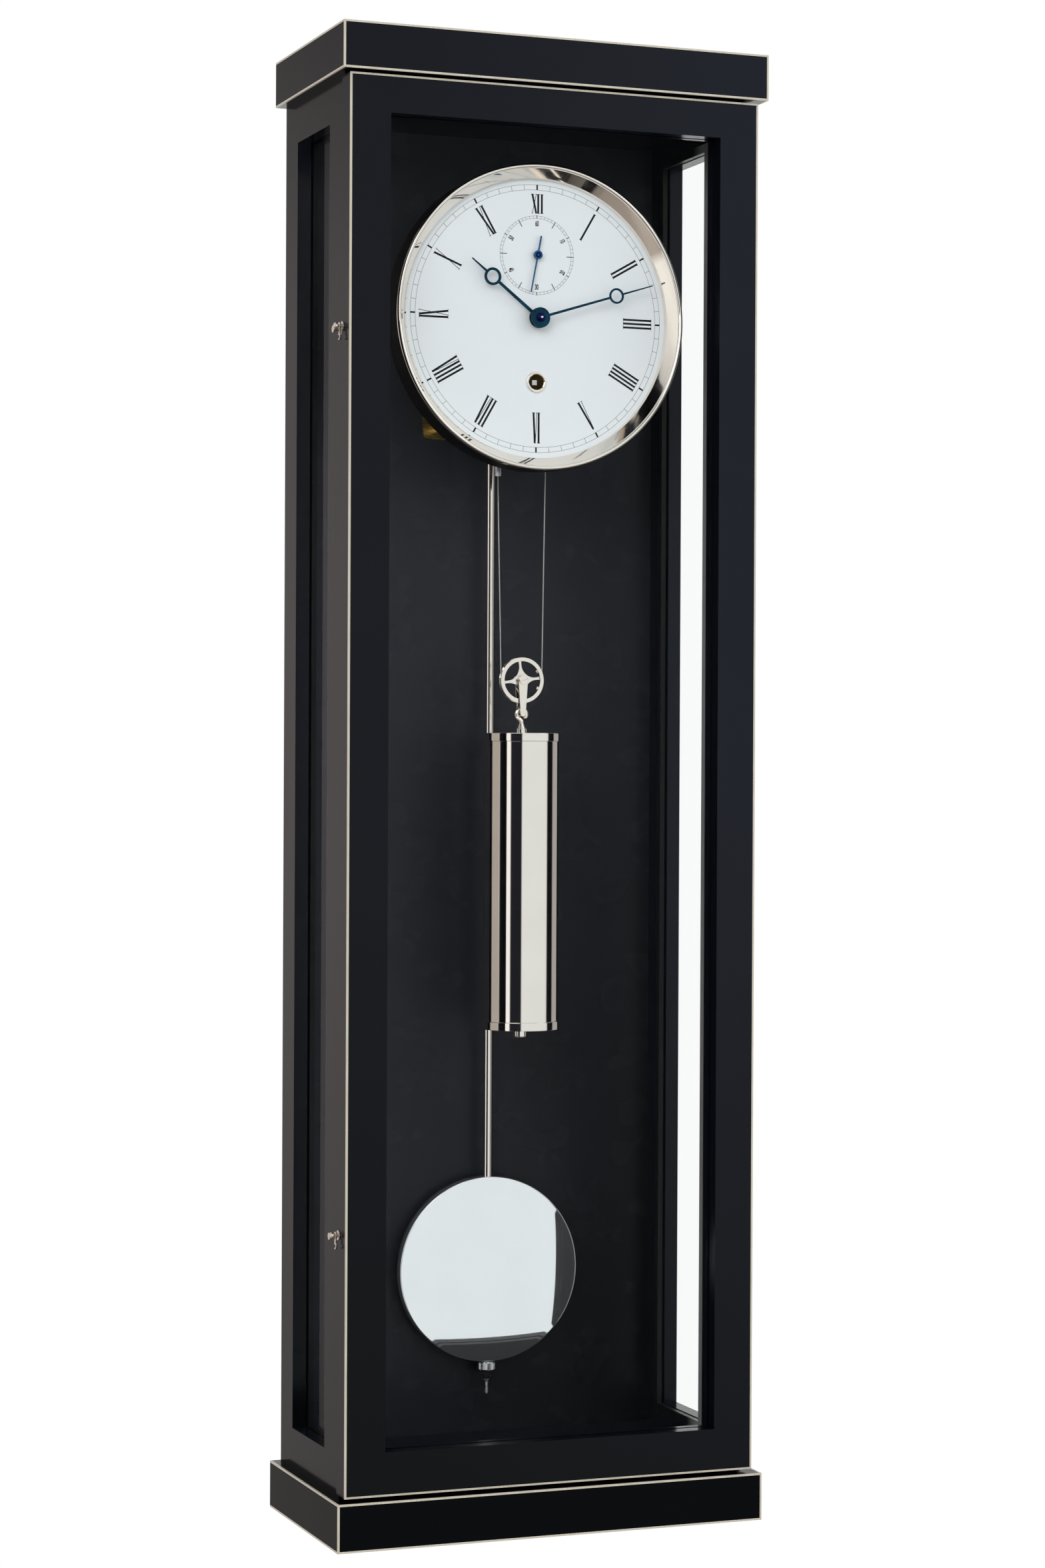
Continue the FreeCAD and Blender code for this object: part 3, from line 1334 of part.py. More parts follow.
def make_motion_work():
    """Cannon pinion, minute wheel and hour wheel between the dial and the front plate."""
    plate_front = float(front_plate_front)
    face = n.wheel_thickness
    first_y = plate_front - n.motion_gap - face
    second_y = first_y - n.motion_gap - face
    x, z = PLACES["centre"]
    minute_x, minute_z = PLACES["minute"]
    line = math.degrees(math.atan2(minute_z - z, minute_x - x))
    bore = n.arbor_radius + n.running_play
    cannon_phase = line
    wheel_phase = meshed_phase("centre", "minute", cannon_phase, n.cannon_teeth, n.minute_wheel_teeth)
    pinion_phase = line + 180
    hour_phase = meshed_phase("minute", "centre", pinion_phase, n.minute_pinion_teeth, n.hour_teeth)
    front_end = float(minute_hand_front)
    pipe = spindle_solid([(front_end, n.cannon_radius), (first_y + face, 0)])
    leaves = gear(n.cannon_teeth, n.motion_module, face, cannon_phase)
    leaves.translate(Vector(0, first_y, 0))
    hole = Part.makeCylinder(bore, first_y + face - front_end, Vector(0, front_end, 0), Vector(0, 1, 0))
    made("cannon_pinion", pipe.fuse(leaves).cut(hole), x, 0.0, z)
    wheel = gear(n.minute_wheel_teeth, n.motion_module, face, wheel_phase)
    wheel.translate(Vector(0, first_y, 0))
    pinion = gear(n.minute_pinion_teeth, n.motion_module, first_y - second_y, pinion_phase)
    pinion.translate(Vector(0, second_y, 0))
    length = first_y + face - second_y
    stud = Part.makeCylinder(n.arbor_radius, length, Vector(0, second_y, 0), Vector(0, 1, 0))
    made("minute_wheel", wheel.fuse(pinion).cut(stud), minute_x, 0.0, minute_z)
    hour_front = float(hour_hand_front)
    blank = gear(n.hour_teeth, n.motion_module, face, hour_phase)
    blank.translate(Vector(0, second_y, 0))
    hour_pipe = spindle_solid([(hour_front, n.hour_pipe_radius), (second_y + face, 0)])
    inside_radius = n.cannon_radius + n.running_play
    inside_length = second_y + face - hour_front
    inside = Part.makeCylinder(inside_radius, inside_length, Vector(0, hour_front, 0), Vector(0, 1, 0))
    made("hour_wheel", blank.fuse(hour_pipe).cut(inside), x, 0.0, z)


make_case()
make_back()
make_door()
make_latches()
make_plates()
make_dial()
make_hands()
make_weight()
make_hook()
make_pulley()
make_pendulum()
make_cable()
make_train()
make_motion_work()

doc.recompute()
faults = [item.Label for item in doc.Objects if "Invalid" in item.State or "Error" in item.State]
for item in pieces:
    if item.Shape.isNull() or not item.Shape.isValid() or not item.Shape.Solids:
        faults.append(item.Label)
if faults:
    raise SystemExit(f"failed pieces: {faults}")
os.makedirs("parts", exist_ok=True)
for item in pieces:
    item.Shape.exportStep(f"parts/{item.Label}.step")
print(len(pieces), "pieces,", sum(len(item.Shape.Solids) for item in pieces), "solids")
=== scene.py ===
import math

import bmesh
import bpy
from mathutils import Matrix, Vector


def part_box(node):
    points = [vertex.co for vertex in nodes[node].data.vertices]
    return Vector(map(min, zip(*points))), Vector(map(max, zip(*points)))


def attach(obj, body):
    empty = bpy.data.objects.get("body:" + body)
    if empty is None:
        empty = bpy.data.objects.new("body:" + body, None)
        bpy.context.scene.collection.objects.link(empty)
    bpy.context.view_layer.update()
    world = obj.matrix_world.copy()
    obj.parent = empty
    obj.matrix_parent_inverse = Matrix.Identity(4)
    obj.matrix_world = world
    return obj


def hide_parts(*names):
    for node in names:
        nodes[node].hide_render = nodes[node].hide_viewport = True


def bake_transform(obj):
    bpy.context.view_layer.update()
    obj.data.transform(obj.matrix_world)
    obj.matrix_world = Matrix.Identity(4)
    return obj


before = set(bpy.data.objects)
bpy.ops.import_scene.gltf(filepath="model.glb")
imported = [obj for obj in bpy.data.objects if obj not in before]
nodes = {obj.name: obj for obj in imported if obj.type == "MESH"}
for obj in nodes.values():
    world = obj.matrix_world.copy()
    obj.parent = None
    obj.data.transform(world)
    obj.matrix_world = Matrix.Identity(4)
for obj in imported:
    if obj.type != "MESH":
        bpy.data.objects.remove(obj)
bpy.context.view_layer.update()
mm = 0.001
print("clock frame loaded:", len(nodes), "pieces")


# camera, at the picture's place and turn
cameraSet = {
    "place": (-0.83795, -2.27627, -0.42188),
    "yaw": 20.942,        # degrees, turned towards the right-hand side
    "pitch": -0.34,
    "roll": 0.268,
    "lens": 78.567,
    "sensor": 36,
    "clip": (0.05, 60),
}


def addCamera(s):
    yaw, pitch, roll = (math.radians(s[key]) for key in ("yaw", "pitch", "roll"))
    level = Vector((math.sin(yaw), math.cos(yaw), 0))
    side = Vector((math.cos(yaw), -math.sin(yaw), 0))
    up = Vector((0, 0, 1))
    ahead = level * math.cos(pitch) + up * math.sin(pitch)
    over = up * math.cos(pitch) - level * math.sin(pitch)
    across = side * math.cos(roll) + over * math.sin(roll)
    upright = over * math.cos(roll) - side * math.sin(roll)
    turn = Matrix((across, upright, -ahead)).transposed().to_4x4()
    data = bpy.data.cameras.new("pictureCamera")
    data.lens = s["lens"]
    data.sensor_width = s["sensor"]
    data.clip_start, data.clip_end = s["clip"]
    camera = bpy.data.objects.new("pictureCamera", data)
    camera.matrix_world = Matrix.Translation(s["place"]) @ turn
    bpy.context.scene.collection.objects.link(camera)
    bpy.context.scene.camera = camera


addCamera(cameraSet)
bpy.context.scene.view_settings.view_transform = "Standard"


# small helpers for meshes
def newPiece(name, bm, material, body, smoothAngle=None):
    # body is None for a piece that runs between two bodies; it is left unattached
    mesh = bpy.data.meshes.new(name)
    bmesh.ops.recalc_face_normals(bm, faces=bm.faces)
    bm.to_mesh(mesh)
    bm.free()
    piece = bpy.data.objects.new(name, mesh)
    bpy.context.scene.collection.objects.link(piece)
    mesh.materials.append(material)
    if smoothAngle is not None:
        mesh.shade_smooth()
        mesh.set_sharp_from_angle(angle=math.radians(smoothAngle))
    if body:
        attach(piece, body)
    return piece


def joinRings(bm, rings):
    # faces from each ring of points to the next
    for first, second in zip(rings, rings[1:]):
        for k in range(len(first)):
            after = (k + 1) % len(first)
            bm.faces.new((first[k], first[after], second[after], second[k]))


def turnProfile(bm, profile, centre, axis, steps, grooved=(), groove=0.0):
    # profile in millimetres out from the axis and along it; a grooved ring has every second point cut in
    up = Vector(axis)
    side = up.orthogonal().normalized()
    over = up.cross(side)
    rings = []
    for i, (reach, along) in enumerate(profile):
        ring = []
        for k in range(steps):
            turn = 2 * math.pi * k / steps
            out = reach - (groove * (k % 2) if i in grooved else 0)
            away = (side * math.cos(turn) + over * math.sin(turn)) * out
            ring.append(bm.verts.new(centre + (away + up * along) * mm))
        rings.append(ring)
    joinRings(bm, rings + rings[:1])


def frontOf(name):
    # middle of a part's front face
    low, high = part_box(name)
    return Vector(((low.x + high.x) / 2, low.y, (low.z + high.z) / 2))


# small helpers for materials
def startFinish(name):
    material = bpy.data.materials.new(name)
    material.use_nodes = True
    tree = material.node_tree
    shader = tree.nodes["Principled BSDF"]
    return material, tree, shader


def feed(tree, socket, value):
    # a plain value is set on the socket, another node's output is linked to it
    if isinstance(value, bpy.types.NodeSocket):
        tree.links.new(value, socket)
    else:
        socket.default_value = value


def objectSpace(tree, stretch=(1, 1, 1)):
    coords = tree.nodes.new("ShaderNodeTexCoord")
    mapping = tree.nodes.new("ShaderNodeMapping")
    mapping.inputs["Scale"].default_value = stretch
    tree.links.new(coords.outputs["Object"], mapping.inputs["Vector"])
    return mapping.outputs["Vector"]


def addNoise(tree, space, scale, detail=3, rough=0.5):
    noise = tree.nodes.new("ShaderNodeTexNoise")
    noise.inputs["Scale"].default_value = scale
    noise.inputs["Detail"].default_value = detail
    noise.inputs["Roughness"].default_value = rough
    tree.links.new(space, noise.inputs["Vector"])
    return noise.outputs["Fac"]


def addSplit(tree, vector):
    split = tree.nodes.new("ShaderNodeSeparateXYZ")
    tree.links.new(vector, split.inputs["Vector"])
    return split.outputs


def addMath(tree, operation, first, second):
    step = tree.nodes.new("ShaderNodeMath")
    step.operation = operation
    feed(tree, step.inputs[0], first)
    feed(tree, step.inputs[1], second)
    return step.outputs["Value"]


def addMix(tree, kind, first, second, factor):
    mix = tree.nodes.new("ShaderNodeMix")
    mix.data_type = "RGBA"
    mix.blend_type = kind
    feed(tree, mix.inputs["Factor"], factor)
    feed(tree, mix.inputs["A"], first)
    feed(tree, mix.inputs["B"], second)
    return mix.outputs["Result"]


def addRange(tree, value, low, high, fromLow=0.3, fromHigh=0.7):
    spread = tree.nodes.new("ShaderNodeMapRange")
    spread.inputs["From Min"].default_value = fromLow
    spread.inputs["From Max"].default_value = fromHigh
    feed(tree, spread.inputs["To Min"], low)
    feed(tree, spread.inputs["To Max"], high)
    tree.links.new(value, spread.inputs["Value"])
    return spread.outputs["Result"]


def addColours(tree, value, stops):
    ramp = tree.nodes.new("ShaderNodeValToRGB")
    points = ramp.color_ramp.elements
    points[0].position, points[0].color = stops[0][0], (*stops[0][1], 1)
    points[1].position, points[1].color = stops[-1][0], (*stops[-1][1], 1)
    for place, colour in stops[1:-1]:
        points.new(place).color = (*colour, 1)
    tree.links.new(value, ramp.inputs["Fac"])
    return ramp.outputs["Color"]


def addTones(tree, value, first, second, between=(0.3, 0.7)):
    return addColours(tree, value, [(between[0], first), (between[1], second)])


def addPaint(tree, shader, value, first, second, between=(0.3, 0.7)):
    tree.links.new(addTones(tree, value, first, second, between), shader.inputs["Base Color"])


def addRoughness(tree, shader, value, span, between=(0.3, 0.7)):
    tree.links.new(addRange(tree, value, *span, *between), shader.inputs["Roughness"])


def addBump(tree, shader, height, strength, distance):
    bump = tree.nodes.new("ShaderNodeBump")
    bump.inputs["Strength"].default_value = strength
    bump.inputs["Distance"].default_value = distance
    tree.links.new(height, bump.inputs["Height"])
    tree.links.new(bump.outputs["Normal"], shader.inputs["Normal"])


def giveFinish(material, names):
    for name in names.split():
        slots = nodes[name].data.materials
        slots.clear()
        slots.append(material)


# black lacquer on the wood of the case and the door, with painted light and shade on its front faces
# here and in the finishes below, clouds, smears and the like are a noise's scale and detail,
# tones are where its two colours lie, and bump is strength and depth
sprayedCoatSet = {
    "clouds": (14, 4),
    "tones": (0.35, 0.65),
    "smears": (40, 3),
    "peel": (900, 1),              # waves of the sprayed coat
    "bump": (0.25, 0.02 * mm),
    "roughness": (0.12, 0.16),
    "across": (-0.12, 0.12),       # painted light: from the case's left to its right, in metres
    "facing": (-1, -0.9),          # painted light: how far a face looks to the front
}
lacquerSet = {
    "dark": (0.0044, 0.0053, 0.0080),
    "light": (0.0049, 0.0058, 0.0087),
    "ior": 1.21,
    "paintedLight": ((0.3, 1.7), (0.8, 3.0), (-0.93, -0.45)),    # painted light and shade, lighter towards the top and the right: left, right (low, high) and between which heights
    "parts": "crown side_stiles side_rails case_boards door_left_stile door_right_stile "
             "door_rails door_glass_beads",
}
# the plinth: the same lacquer painted darker, a painted shade low on the case
baseLacquerSet = {
    "dark": (0.0015, 0.0020, 0.0032),
    "light": (0.0018, 0.0023, 0.0036),
    "ior": 1.13,
    "paintedLight": None,
    "parts": "base_plinth",
}
# the back panel: the same lacquer painted lighter, as painted light for what comes in through the side glass;
# its painted light is brighter at the left and at the top, where the crown shades it
backLacquerSet = {
    "dark": (0.0110, 0.0116, 0.0142),
    "light": (0.0115, 0.0121, 0.0148),
    "ior": 1.18,
    "roughness": (0.26, 0.28),
    "paintedLight": ((2.2, 4.0), (0.4, 2.5), (-0.82, -0.10)),
    "parts": "back_panel",
}


def addPaintedLight(tree, space, paintedLight, s):
    # front faces are painted greyer or deeper by their height and side, as painted light and shade; other
    # faces keep the plain black
    left, right, heights = paintedLight
    place = addSplit(tree, space)
    atLeft = addRange(tree, place["Z"], *left, *heights)
    atRight = addRange(tree, place["Z"], *right, *heights)
    across = addRange(tree, place["X"], atLeft, atRight, *s["across"])
    coords = tree.nodes.new("ShaderNodeTexCoord")
    facing = addSplit(tree, coords.outputs["Normal"])
    return addRange(tree, facing["Y"], across, 1, *s["facing"])


def makeLacquer(name, own):
    s = sprayedCoatSet | own
    material, tree, shader = startFinish(name)
    space = objectSpace(tree)
    black = addTones(tree, addNoise(tree, space, *s["clouds"]), s["dark"], s["light"], s["tones"])
    if s["paintedLight"]:
        # the front faces' painted light and shade multiply the lacquer's colour
        black = addMix(tree, "MULTIPLY", black, addPaintedLight(tree, space, s["paintedLight"], s), 1)
    tree.links.new(black, shader.inputs["Base Color"])
    addRoughness(tree, shader, addNoise(tree, space, *s["smears"]), s["roughness"])
    shader.inputs["IOR"].default_value = s["ior"]
    addBump(tree, shader, addNoise(tree, space, *s["peel"]), *s["bump"])
    giveFinish(material, s["parts"])


# glazing beads of the sides, painted grey along the front as painted light, for the light that the rounded
# bead catches, and black further back
beadSet = {
    "front": (0.240, 0.235, 0.235),
    "back": (0.006, 0.006, 0.007),
    "change": (-0.094, -0.080),      # where one passes into the other, in metres from the wall
    "smears": (60, 3),
    "roughness": (0.30, 0.40),
    "ior": 1.25,
    "parts": "side_glass_beads",
}


def makeBeads(s):
    material, tree, shader = startFinish("beadLacquer")
    space = objectSpace(tree)
    # painted light: grey along the front, black further back
    depth = addRange(tree, addSplit(tree, space)["Y"], 0, 1, *s["change"])
    addPaint(tree, shader, depth, s["front"], s["back"], (0, 1))
    addRoughness(tree, shader, addNoise(tree, space, *s["smears"]), s["roughness"])
    shader.inputs["IOR"].default_value = s["ior"]
    giveFinish(material, s["parts"])


# pale wood lines let into the edges
inlaySet = {
    "pale": (0.86, 0.80, 0.68),
    "deep": (0.74, 0.66, 0.52),
    "tones": (0.3, 0.6),
    "stretch": (900, 900, 60),     # pores run up and down the clock
    "pores": (1.0, 4, 0.6),
    "roughness": (0.32, 0.45),
    "bump": (0.2, 0.03 * mm),
    "parts": "case_inlay door_inlay",
}


def makeInlay(s):
    material, tree, shader = startFinish("paleInlay")
    grain = addNoise(tree, objectSpace(tree, s["stretch"]), *s["pores"])
    addPaint(tree, shader, grain, s["deep"], s["pale"], s["tones"])
    addRoughness(tree, shader, grain, s["roughness"])
    addBump(tree, shader, grain, *s["bump"])
    giveFinish(material, s["parts"])


# clear panes, which let the lamps' light through
paneSet = {
    "roughness": 0.0,
    "waves": (9, 1),
    "bump": (0.1, 0.002 * mm),
}
doorGlassSet = {
    "colour": (0.992, 0.999, 0.997),
    "ior": 1.07,
    "parts": "door_glass",
}
sideGlassSet = {
    "colour": (0.995, 1.0, 0.998),
    "ior": 1.09,
    "parts": "side_glass",
}


def makeGlass(name, own):
    s = paneSet | own
    material, tree, shader = startFinish(name)
    shader.inputs["Base Color"].default_value = (*s["colour"], 1)
    shader.inputs["Transmission Weight"].default_value = 1
    shader.inputs["IOR"].default_value = s["ior"]
    shader.inputs["Roughness"].default_value = s["roughness"]
    addBump(tree, shader, addNoise(tree, objectSpace(tree), *s["waves"]), *s["bump"])
    path = tree.nodes.new("ShaderNodeLightPath")
    clear = tree.nodes.new("ShaderNodeBsdfTransparent")
    mix = tree.nodes.new("ShaderNodeMixShader")
    out = tree.nodes["Material Output"]
    tree.links.new(path.outputs["Is Shadow Ray"], mix.inputs["Fac"])
    tree.links.new(shader.outputs["BSDF"], mix.inputs[1])
    tree.links.new(clear.outputs["BSDF"], mix.inputs[2])
    tree.links.new(mix.outputs["Shader"], out.inputs["Surface"])
    giveFinish(material, s["parts"])


# white dial paint
dialPaintSet = {
    "white": (0.885, 0.920, 0.945),
    "shade": (0.865, 0.905, 0.935),
    "clouds": (9, 3),
    "smears": (160, 2),
    "roughness": (0.34, 0.44),
    "gloss": 0.3,
    "grain": (2600, 1),
    "bump": (0.12, 0.01 * mm),
    "parts": "dial_plate",
}


def makeDialPaint(s):
    material, tree, shader = startFinish("dialWhite")
    space = objectSpace(tree)
    addPaint(tree, shader, addNoise(tree, space, *s["clouds"]), s["shade"], s["white"])
    addRoughness(tree, shader, addNoise(tree, space, *s["smears"]), s["roughness"])
    shader.inputs["Specular IOR Level"].default_value = s["gloss"]
    addBump(tree, shader, addNoise(tree, space, *s["grain"]), *s["bump"])
    giveFinish(material, s["parts"])


# polished nickel plate, with a bluer chrome on the bob
polishSet = {
    "clouds": (30, 3),
    "tones": (0.35, 0.65),
    "smears": (120, 4),
    "metallic": 1.0,
    "edgeSamples": 6,
}
nickelSet = {
    "bright": (0.93, 0.86, 0.78),
    "dull": (0.89, 0.82, 0.74),
    "roughness": (0.03, 0.07),
    "edge": 0.35 * mm,
    "parts": "bezel winding_grommet latch_studs catch_studs upper_latch_hook lower_latch_hook weight_hook "
             "pulley_wheel pulley_stirrup pulley_screw pendulum_rod",
}
weightSet = {
    "bright": (0.93, 0.87, 0.80),
    "dull": (0.90, 0.84, 0.77),
    "roughness": (0.02, 0.045),
    "edge": 0.5 * mm,
    "parts": "weight_tube weight_caps",
}
chromeSet = {
    "bright": (0.93, 0.95, 0.96),
    "dull": (0.91, 0.93, 0.945),
    "metallic": 0.95,
    "roughness": (0.02, 0.04),
    "edge": 0.4 * mm,
    "parts": "pendulum_bob",
}


def makeNickel(name, own):
    s = polishSet | own
    material, tree, shader = startFinish(name)
    space = objectSpace(tree)
    shader.inputs["Metallic"].default_value = s["metallic"]
    addPaint(tree, shader, addNoise(tree, space, *s["clouds"]), s["dull"], s["bright"], s["tones"])
    addRoughness(tree, shader, addNoise(tree, space, *s["smears"]), s["roughness"])
    rounded = tree.nodes.new("ShaderNodeBevel")
    rounded.samples = s["edgeSamples"]
    rounded.inputs["Radius"].default_value = s["edge"]
    tree.links.new(rounded.outputs["Normal"], shader.inputs["Normal"])
    giveFinish(material, s["parts"])
    return material


# brushed brass of the movement
brassSet = {
    "bright": (0.80, 0.60, 0.25),
    "dull": (0.66, 0.47, 0.17),
    "clouds": (35, 3),
    "stretch": (60, 60, 1800),
    "lines": (1.0, 3),
    "roughness": (0.20, 0.36),
    "bump": (0.15, 0.01 * mm),
    "parts": "front_plate back_plate plate_pillars movement_posts suspension_cock second_wheel centre_wheel "
             "third_wheel escape_wheel great_wheel hour_wheel minute_wheel cannon_pinion",
}


def makeBrass(s):
    material, tree, shader = startFinish("brushedBrass")
    lines = addNoise(tree, objectSpace(tree, s["stretch"]), *s["lines"])
    cloud = addNoise(tree, objectSpace(tree), *s["clouds"])
    shader.inputs["Metallic"].default_value = 1
    addPaint(tree, shader, cloud, s["dull"], s["bright"])
    addRoughness(tree, shader, lines, s["roughness"])
    addBump(tree, shader, lines, *s["bump"])
    giveFinish(material, s["parts"])


# blued steel of the hands
bluingSet = {
    "clouds": (110, 3),
    "smears": (700, 2),
}
bluedSet = {
    "deep": (0.005, 0.032, 0.058),
    "light": (0.008, 0.048, 0.084),
    "roughness": (0.26, 0.38),
    "parts": "hour_hand minute_hand",
}
brightBlueSet = {
    "deep": (0.018, 0.085, 0.190),
    "light": (0.032, 0.125, 0.260),
    "roughness": (0.16, 0.26),
    "parts": "seconds_hand",
}
nutBlueSet = {
    "deep": (0.005, 0.007, 0.070),
    "light": (0.009, 0.012, 0.120),
    "roughness": (0.05, 0.10),
    "parts": "hand_nut",
}


def makeBlued(name, own):
    s = bluingSet | own
    material, tree, shader = startFinish(name)
    space = objectSpace(tree)
    shader.inputs["Metallic"].default_value = 1
    addPaint(tree, shader, addNoise(tree, space, *s["clouds"]), s["deep"], s["light"])
    addRoughness(tree, shader, addNoise(tree, space, *s["smears"]), s["roughness"])
    giveFinish(material, s["parts"])
    return material


# turned steel, rough iron, black paints and the knurled steel of the nut
gritSet = {
    "spotDetail": 4,
    "finer": 3,                # the roughness has finer grit, by this many times
    "fineDetail": 3,
    "gloss": 0.5,
    "bump": (0.15, 0.02 * mm),
}
steelSet = {
    "bright": (0.62, 0.62, 0.61),
    "dull": (0.50, 0.50, 0.49),
    "roughness": (0.18, 0.34),
    "metallic": 1,
    "grit": 300,
    "parts": "hanger_plate hanger_screws door_pivot_pins anchor suspension_spring cable_runs "
             "cable_pulley_bend cable_drum",
}
ironSet = {
    "bright": (0.16, 0.155, 0.15),
    "dull": (0.09, 0.085, 0.08),
    "roughness": (0.55, 0.8),
    "metallic": 0.6,
    "grit": 260,
    "parts": "weight_core",
}
blackPaintSet = {
    "bright": (0.004, 0.004, 0.0045),
    "dull": (0.002, 0.002, 0.0025),
    "roughness": (0.45, 0.6),
    "gloss": 0.1,
    "metallic": 0,
    "grit": 220,
    "parts": "dial_can",
}
tipPaintSet = {
    "bright": (0.020, 0.020, 0.022),
    "dull": (0.012, 0.012, 0.014),
    "roughness": (0.20, 0.30),
    "metallic": 0,
    "grit": 220,
    "parts": "rod_tip",
}
knurlSet = {
    "bright": (0.84, 0.85, 0.87),
    "dull": (0.74, 0.75, 0.77),
    "roughness": (0.22, 0.32),
    "metallic": 1,
    "grit": 260,
    "parts": "rating_nut cable_anchor",
}


def makePlain(name, own):
    s = gritSet | own
    material, tree, shader = startFinish(name)
    space = objectSpace(tree)
    spots = addNoise(tree, space, s["grit"], s["spotDetail"])
    fine = addNoise(tree, space, s["grit"] * s["finer"], s["fineDetail"])
    shader.inputs["Metallic"].default_value = s["metallic"]
    shader.inputs["Specular IOR Level"].default_value = s["gloss"]
    addPaint(tree, shader, spots, s["dull"], s["bright"])
    addRoughness(tree, shader, fine, s["roughness"])
    addBump(tree, shader, spots, *s["bump"])
    giveFinish(material, s["parts"])
    return material


makeLacquer("blackLacquer", lacquerSet)
makeLacquer("baseLacquer", baseLacquerSet)
makeLacquer("backLacquer", backLacquerSet)
makeBeads(beadSet)
makeInlay(inlaySet)
makeGlass("doorGlass", doorGlassSet)
makeGlass("sideGlass", sideGlassSet)
makeDialPaint(dialPaintSet)
nickel = makeNickel("polishedNickel", nickelSet)
makeNickel("weightNickel", weightSet)
chrome = makeNickel("bobChrome", chromeSet)
makeBrass(brassSet)
makeBlued("bluedSteel", bluedSet)
makeBlued("brightBluedSteel", brightBlueSet)
nutBlue = makeBlued("polishedBluedSteel", nutBlueSet)
steel = makePlain("turnedSteel", steelSet)
makePlain("roughIron", ironSet)
blackPaint = makePlain("mattBlackPaint", blackPaintSet)
makePlain("tipBlackPaint", tipPaintSet)
knurlSteel = makePlain("knurledSteel", knurlSet)
print("finishes ready:", len(bpy.data.materials))


# turned pieces and the suspension leaf, measured in millimetres
toFront = (0, -1, 0)
toTop = (0, 0, 1)
secondsLift = 43.0 * mm         # the small ring's centre above the dial's
dialCentre = frontOf("dial_plate")
secondsCentre = dialCentre + Vector((0, 0, secondsLift))

bezelSet = {
    "opening": 94.2,
    "wall": (94.7, 3.2),           # top of the short wall round the dial
    "bead": 1.5,
    "beadSteps": 12,
    "skirt": 11.0,                 # behind the dial's face
    "band": 2.0,                   # bright band behind the bead; the skirt behind it is black
    "seat": (97.0, 0.0),           # back edge of the wall, on the dial
    "inside": 100.0,               # the skirt's bore, over the can
    "steps": 240,
}


def makeBezel(s):
    # turned ring: short wall, wide cone and round bead, with a black skirt over the can
    low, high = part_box("bezel")
    reach = (high.x - low.x) / 2 / mm
    face = high.y - s["skirt"] * mm
    bead = s["bead"]
    level = (face - low.y) / mm - bead
    profile = [(s["opening"], 0.0), s["wall"]]
    for i in range(s["beadSteps"] + 1):
        angle = math.radians(180 - 180 * i / s["beadSteps"])
        profile.append((reach - bead + bead * math.cos(angle), level + bead * math.sin(angle)))
    back = level - s["band"]
    profile += [(reach, back), (s["inside"], back), s["seat"]]
    skirt = [(reach, back), (reach, -s["skirt"]), (s["inside"], -s["skirt"]), (s["inside"], back)]
    centre = Vector(((low.x + high.x) / 2, face, (low.z + high.z) / 2))
    bm = bmesh.new()
    turnProfile(bm, profile, centre, toFront, s["steps"])
    ring = newPiece("bezelRing", bm, nickel, "case", 25)
    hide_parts("bezel")
    bm = bmesh.new()
    turnProfile(bm, skirt, centre, toFront, s["steps"])
    newPiece("bezelSkirt", bm, blackPaint, "case", 25)


lensSet = {
    "sag": 4.8,
    "pole": 0.02,          # pin hole in the middle, where the rings would meet
    "round": 0.9,          # radius of the rim's edges
    "roundSteps": 6,
    "rings": 26,
    "steps": 180,
    "turn": -2.2,          # degrees that the lens hangs turned on its rod
}


def makeLens(s):
    # polished bob: two shallow domes and a rim with rounded edges
    low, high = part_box("pendulum_bob")
    reach = (high.x - low.x) / 2 / mm
    half = (high.y - low.y) / 2 / mm
    flat = reach - s["round"]
    rim = half - s["sag"]
    bend = (flat * flat + s["sag"] * s["sag"]) / (2 * s["sag"])
    front = []
    for i in range(s["rings"]):
        out = s["pole"] + (flat - s["pole"]) * i / (s["rings"] - 1)
        front.append((out, rim + math.sqrt(bend * bend - out * out) - (bend - s["sag"])))
    for i in range(1, s["roundSteps"] + 1):
        angle = math.radians(90 * i / s["roundSteps"])
        front.append((flat + s["round"] * math.sin(angle), rim - s["round"] * (1 - math.cos(angle))))
    profile = front + [(out, -along) for out, along in reversed(front)]
    turn = math.radians(s["turn"])
    bm = bmesh.new()
    turnProfile(bm, profile, (low + high) / 2, (math.sin(turn), -math.cos(turn), 0), s["steps"])
    lens = newPiece("bobLens", bm, chrome, "pendulum", 40)
    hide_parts("pendulum_bob")


springSet = {
    "steps": 24,
    "clamp": 0.45,         # share of the leaf that the cock holds
    "trim": 0.02,          # rounded long edges, in millimetres
}


def makeSpring(s):
    # the thin leaf that the pendulum hangs by, between the cock and the rod
    low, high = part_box("suspension_spring")
    trim = min(s["trim"] * mm, (high.x - low.x) / 4)
    outline = [(low.x + trim, low.y), (high.x - trim, low.y), (high.x, low.y + trim), (high.x, high.y - trim),
               (high.x - trim, high.y), (low.x + trim, high.y), (low.x, high.y - trim), (low.x, low.y + trim)]
    bm = bmesh.new()
    rings = []
    for i in range(s["steps"] + 1):
        level = high.z + (low.z - high.z) * i / s["steps"]
        rings.append([bm.verts.new((x, y, level)) for x, y in outline])
    joinRings(bm, rings)
    bm.faces.new(rings[0])
    bm.faces.new(rings[-1])
    leaf = newPiece("suspensionLeaf", bm, steel, None, 40)
    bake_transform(leaf)
    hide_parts("suspension_spring")


gripSet = {
    "grooves": 58,
    "groove": 0.16,
    "edge": 0.8,
    "land": 0.1,           # narrow step at each end of the grooves
    "bore": 1.3,
}


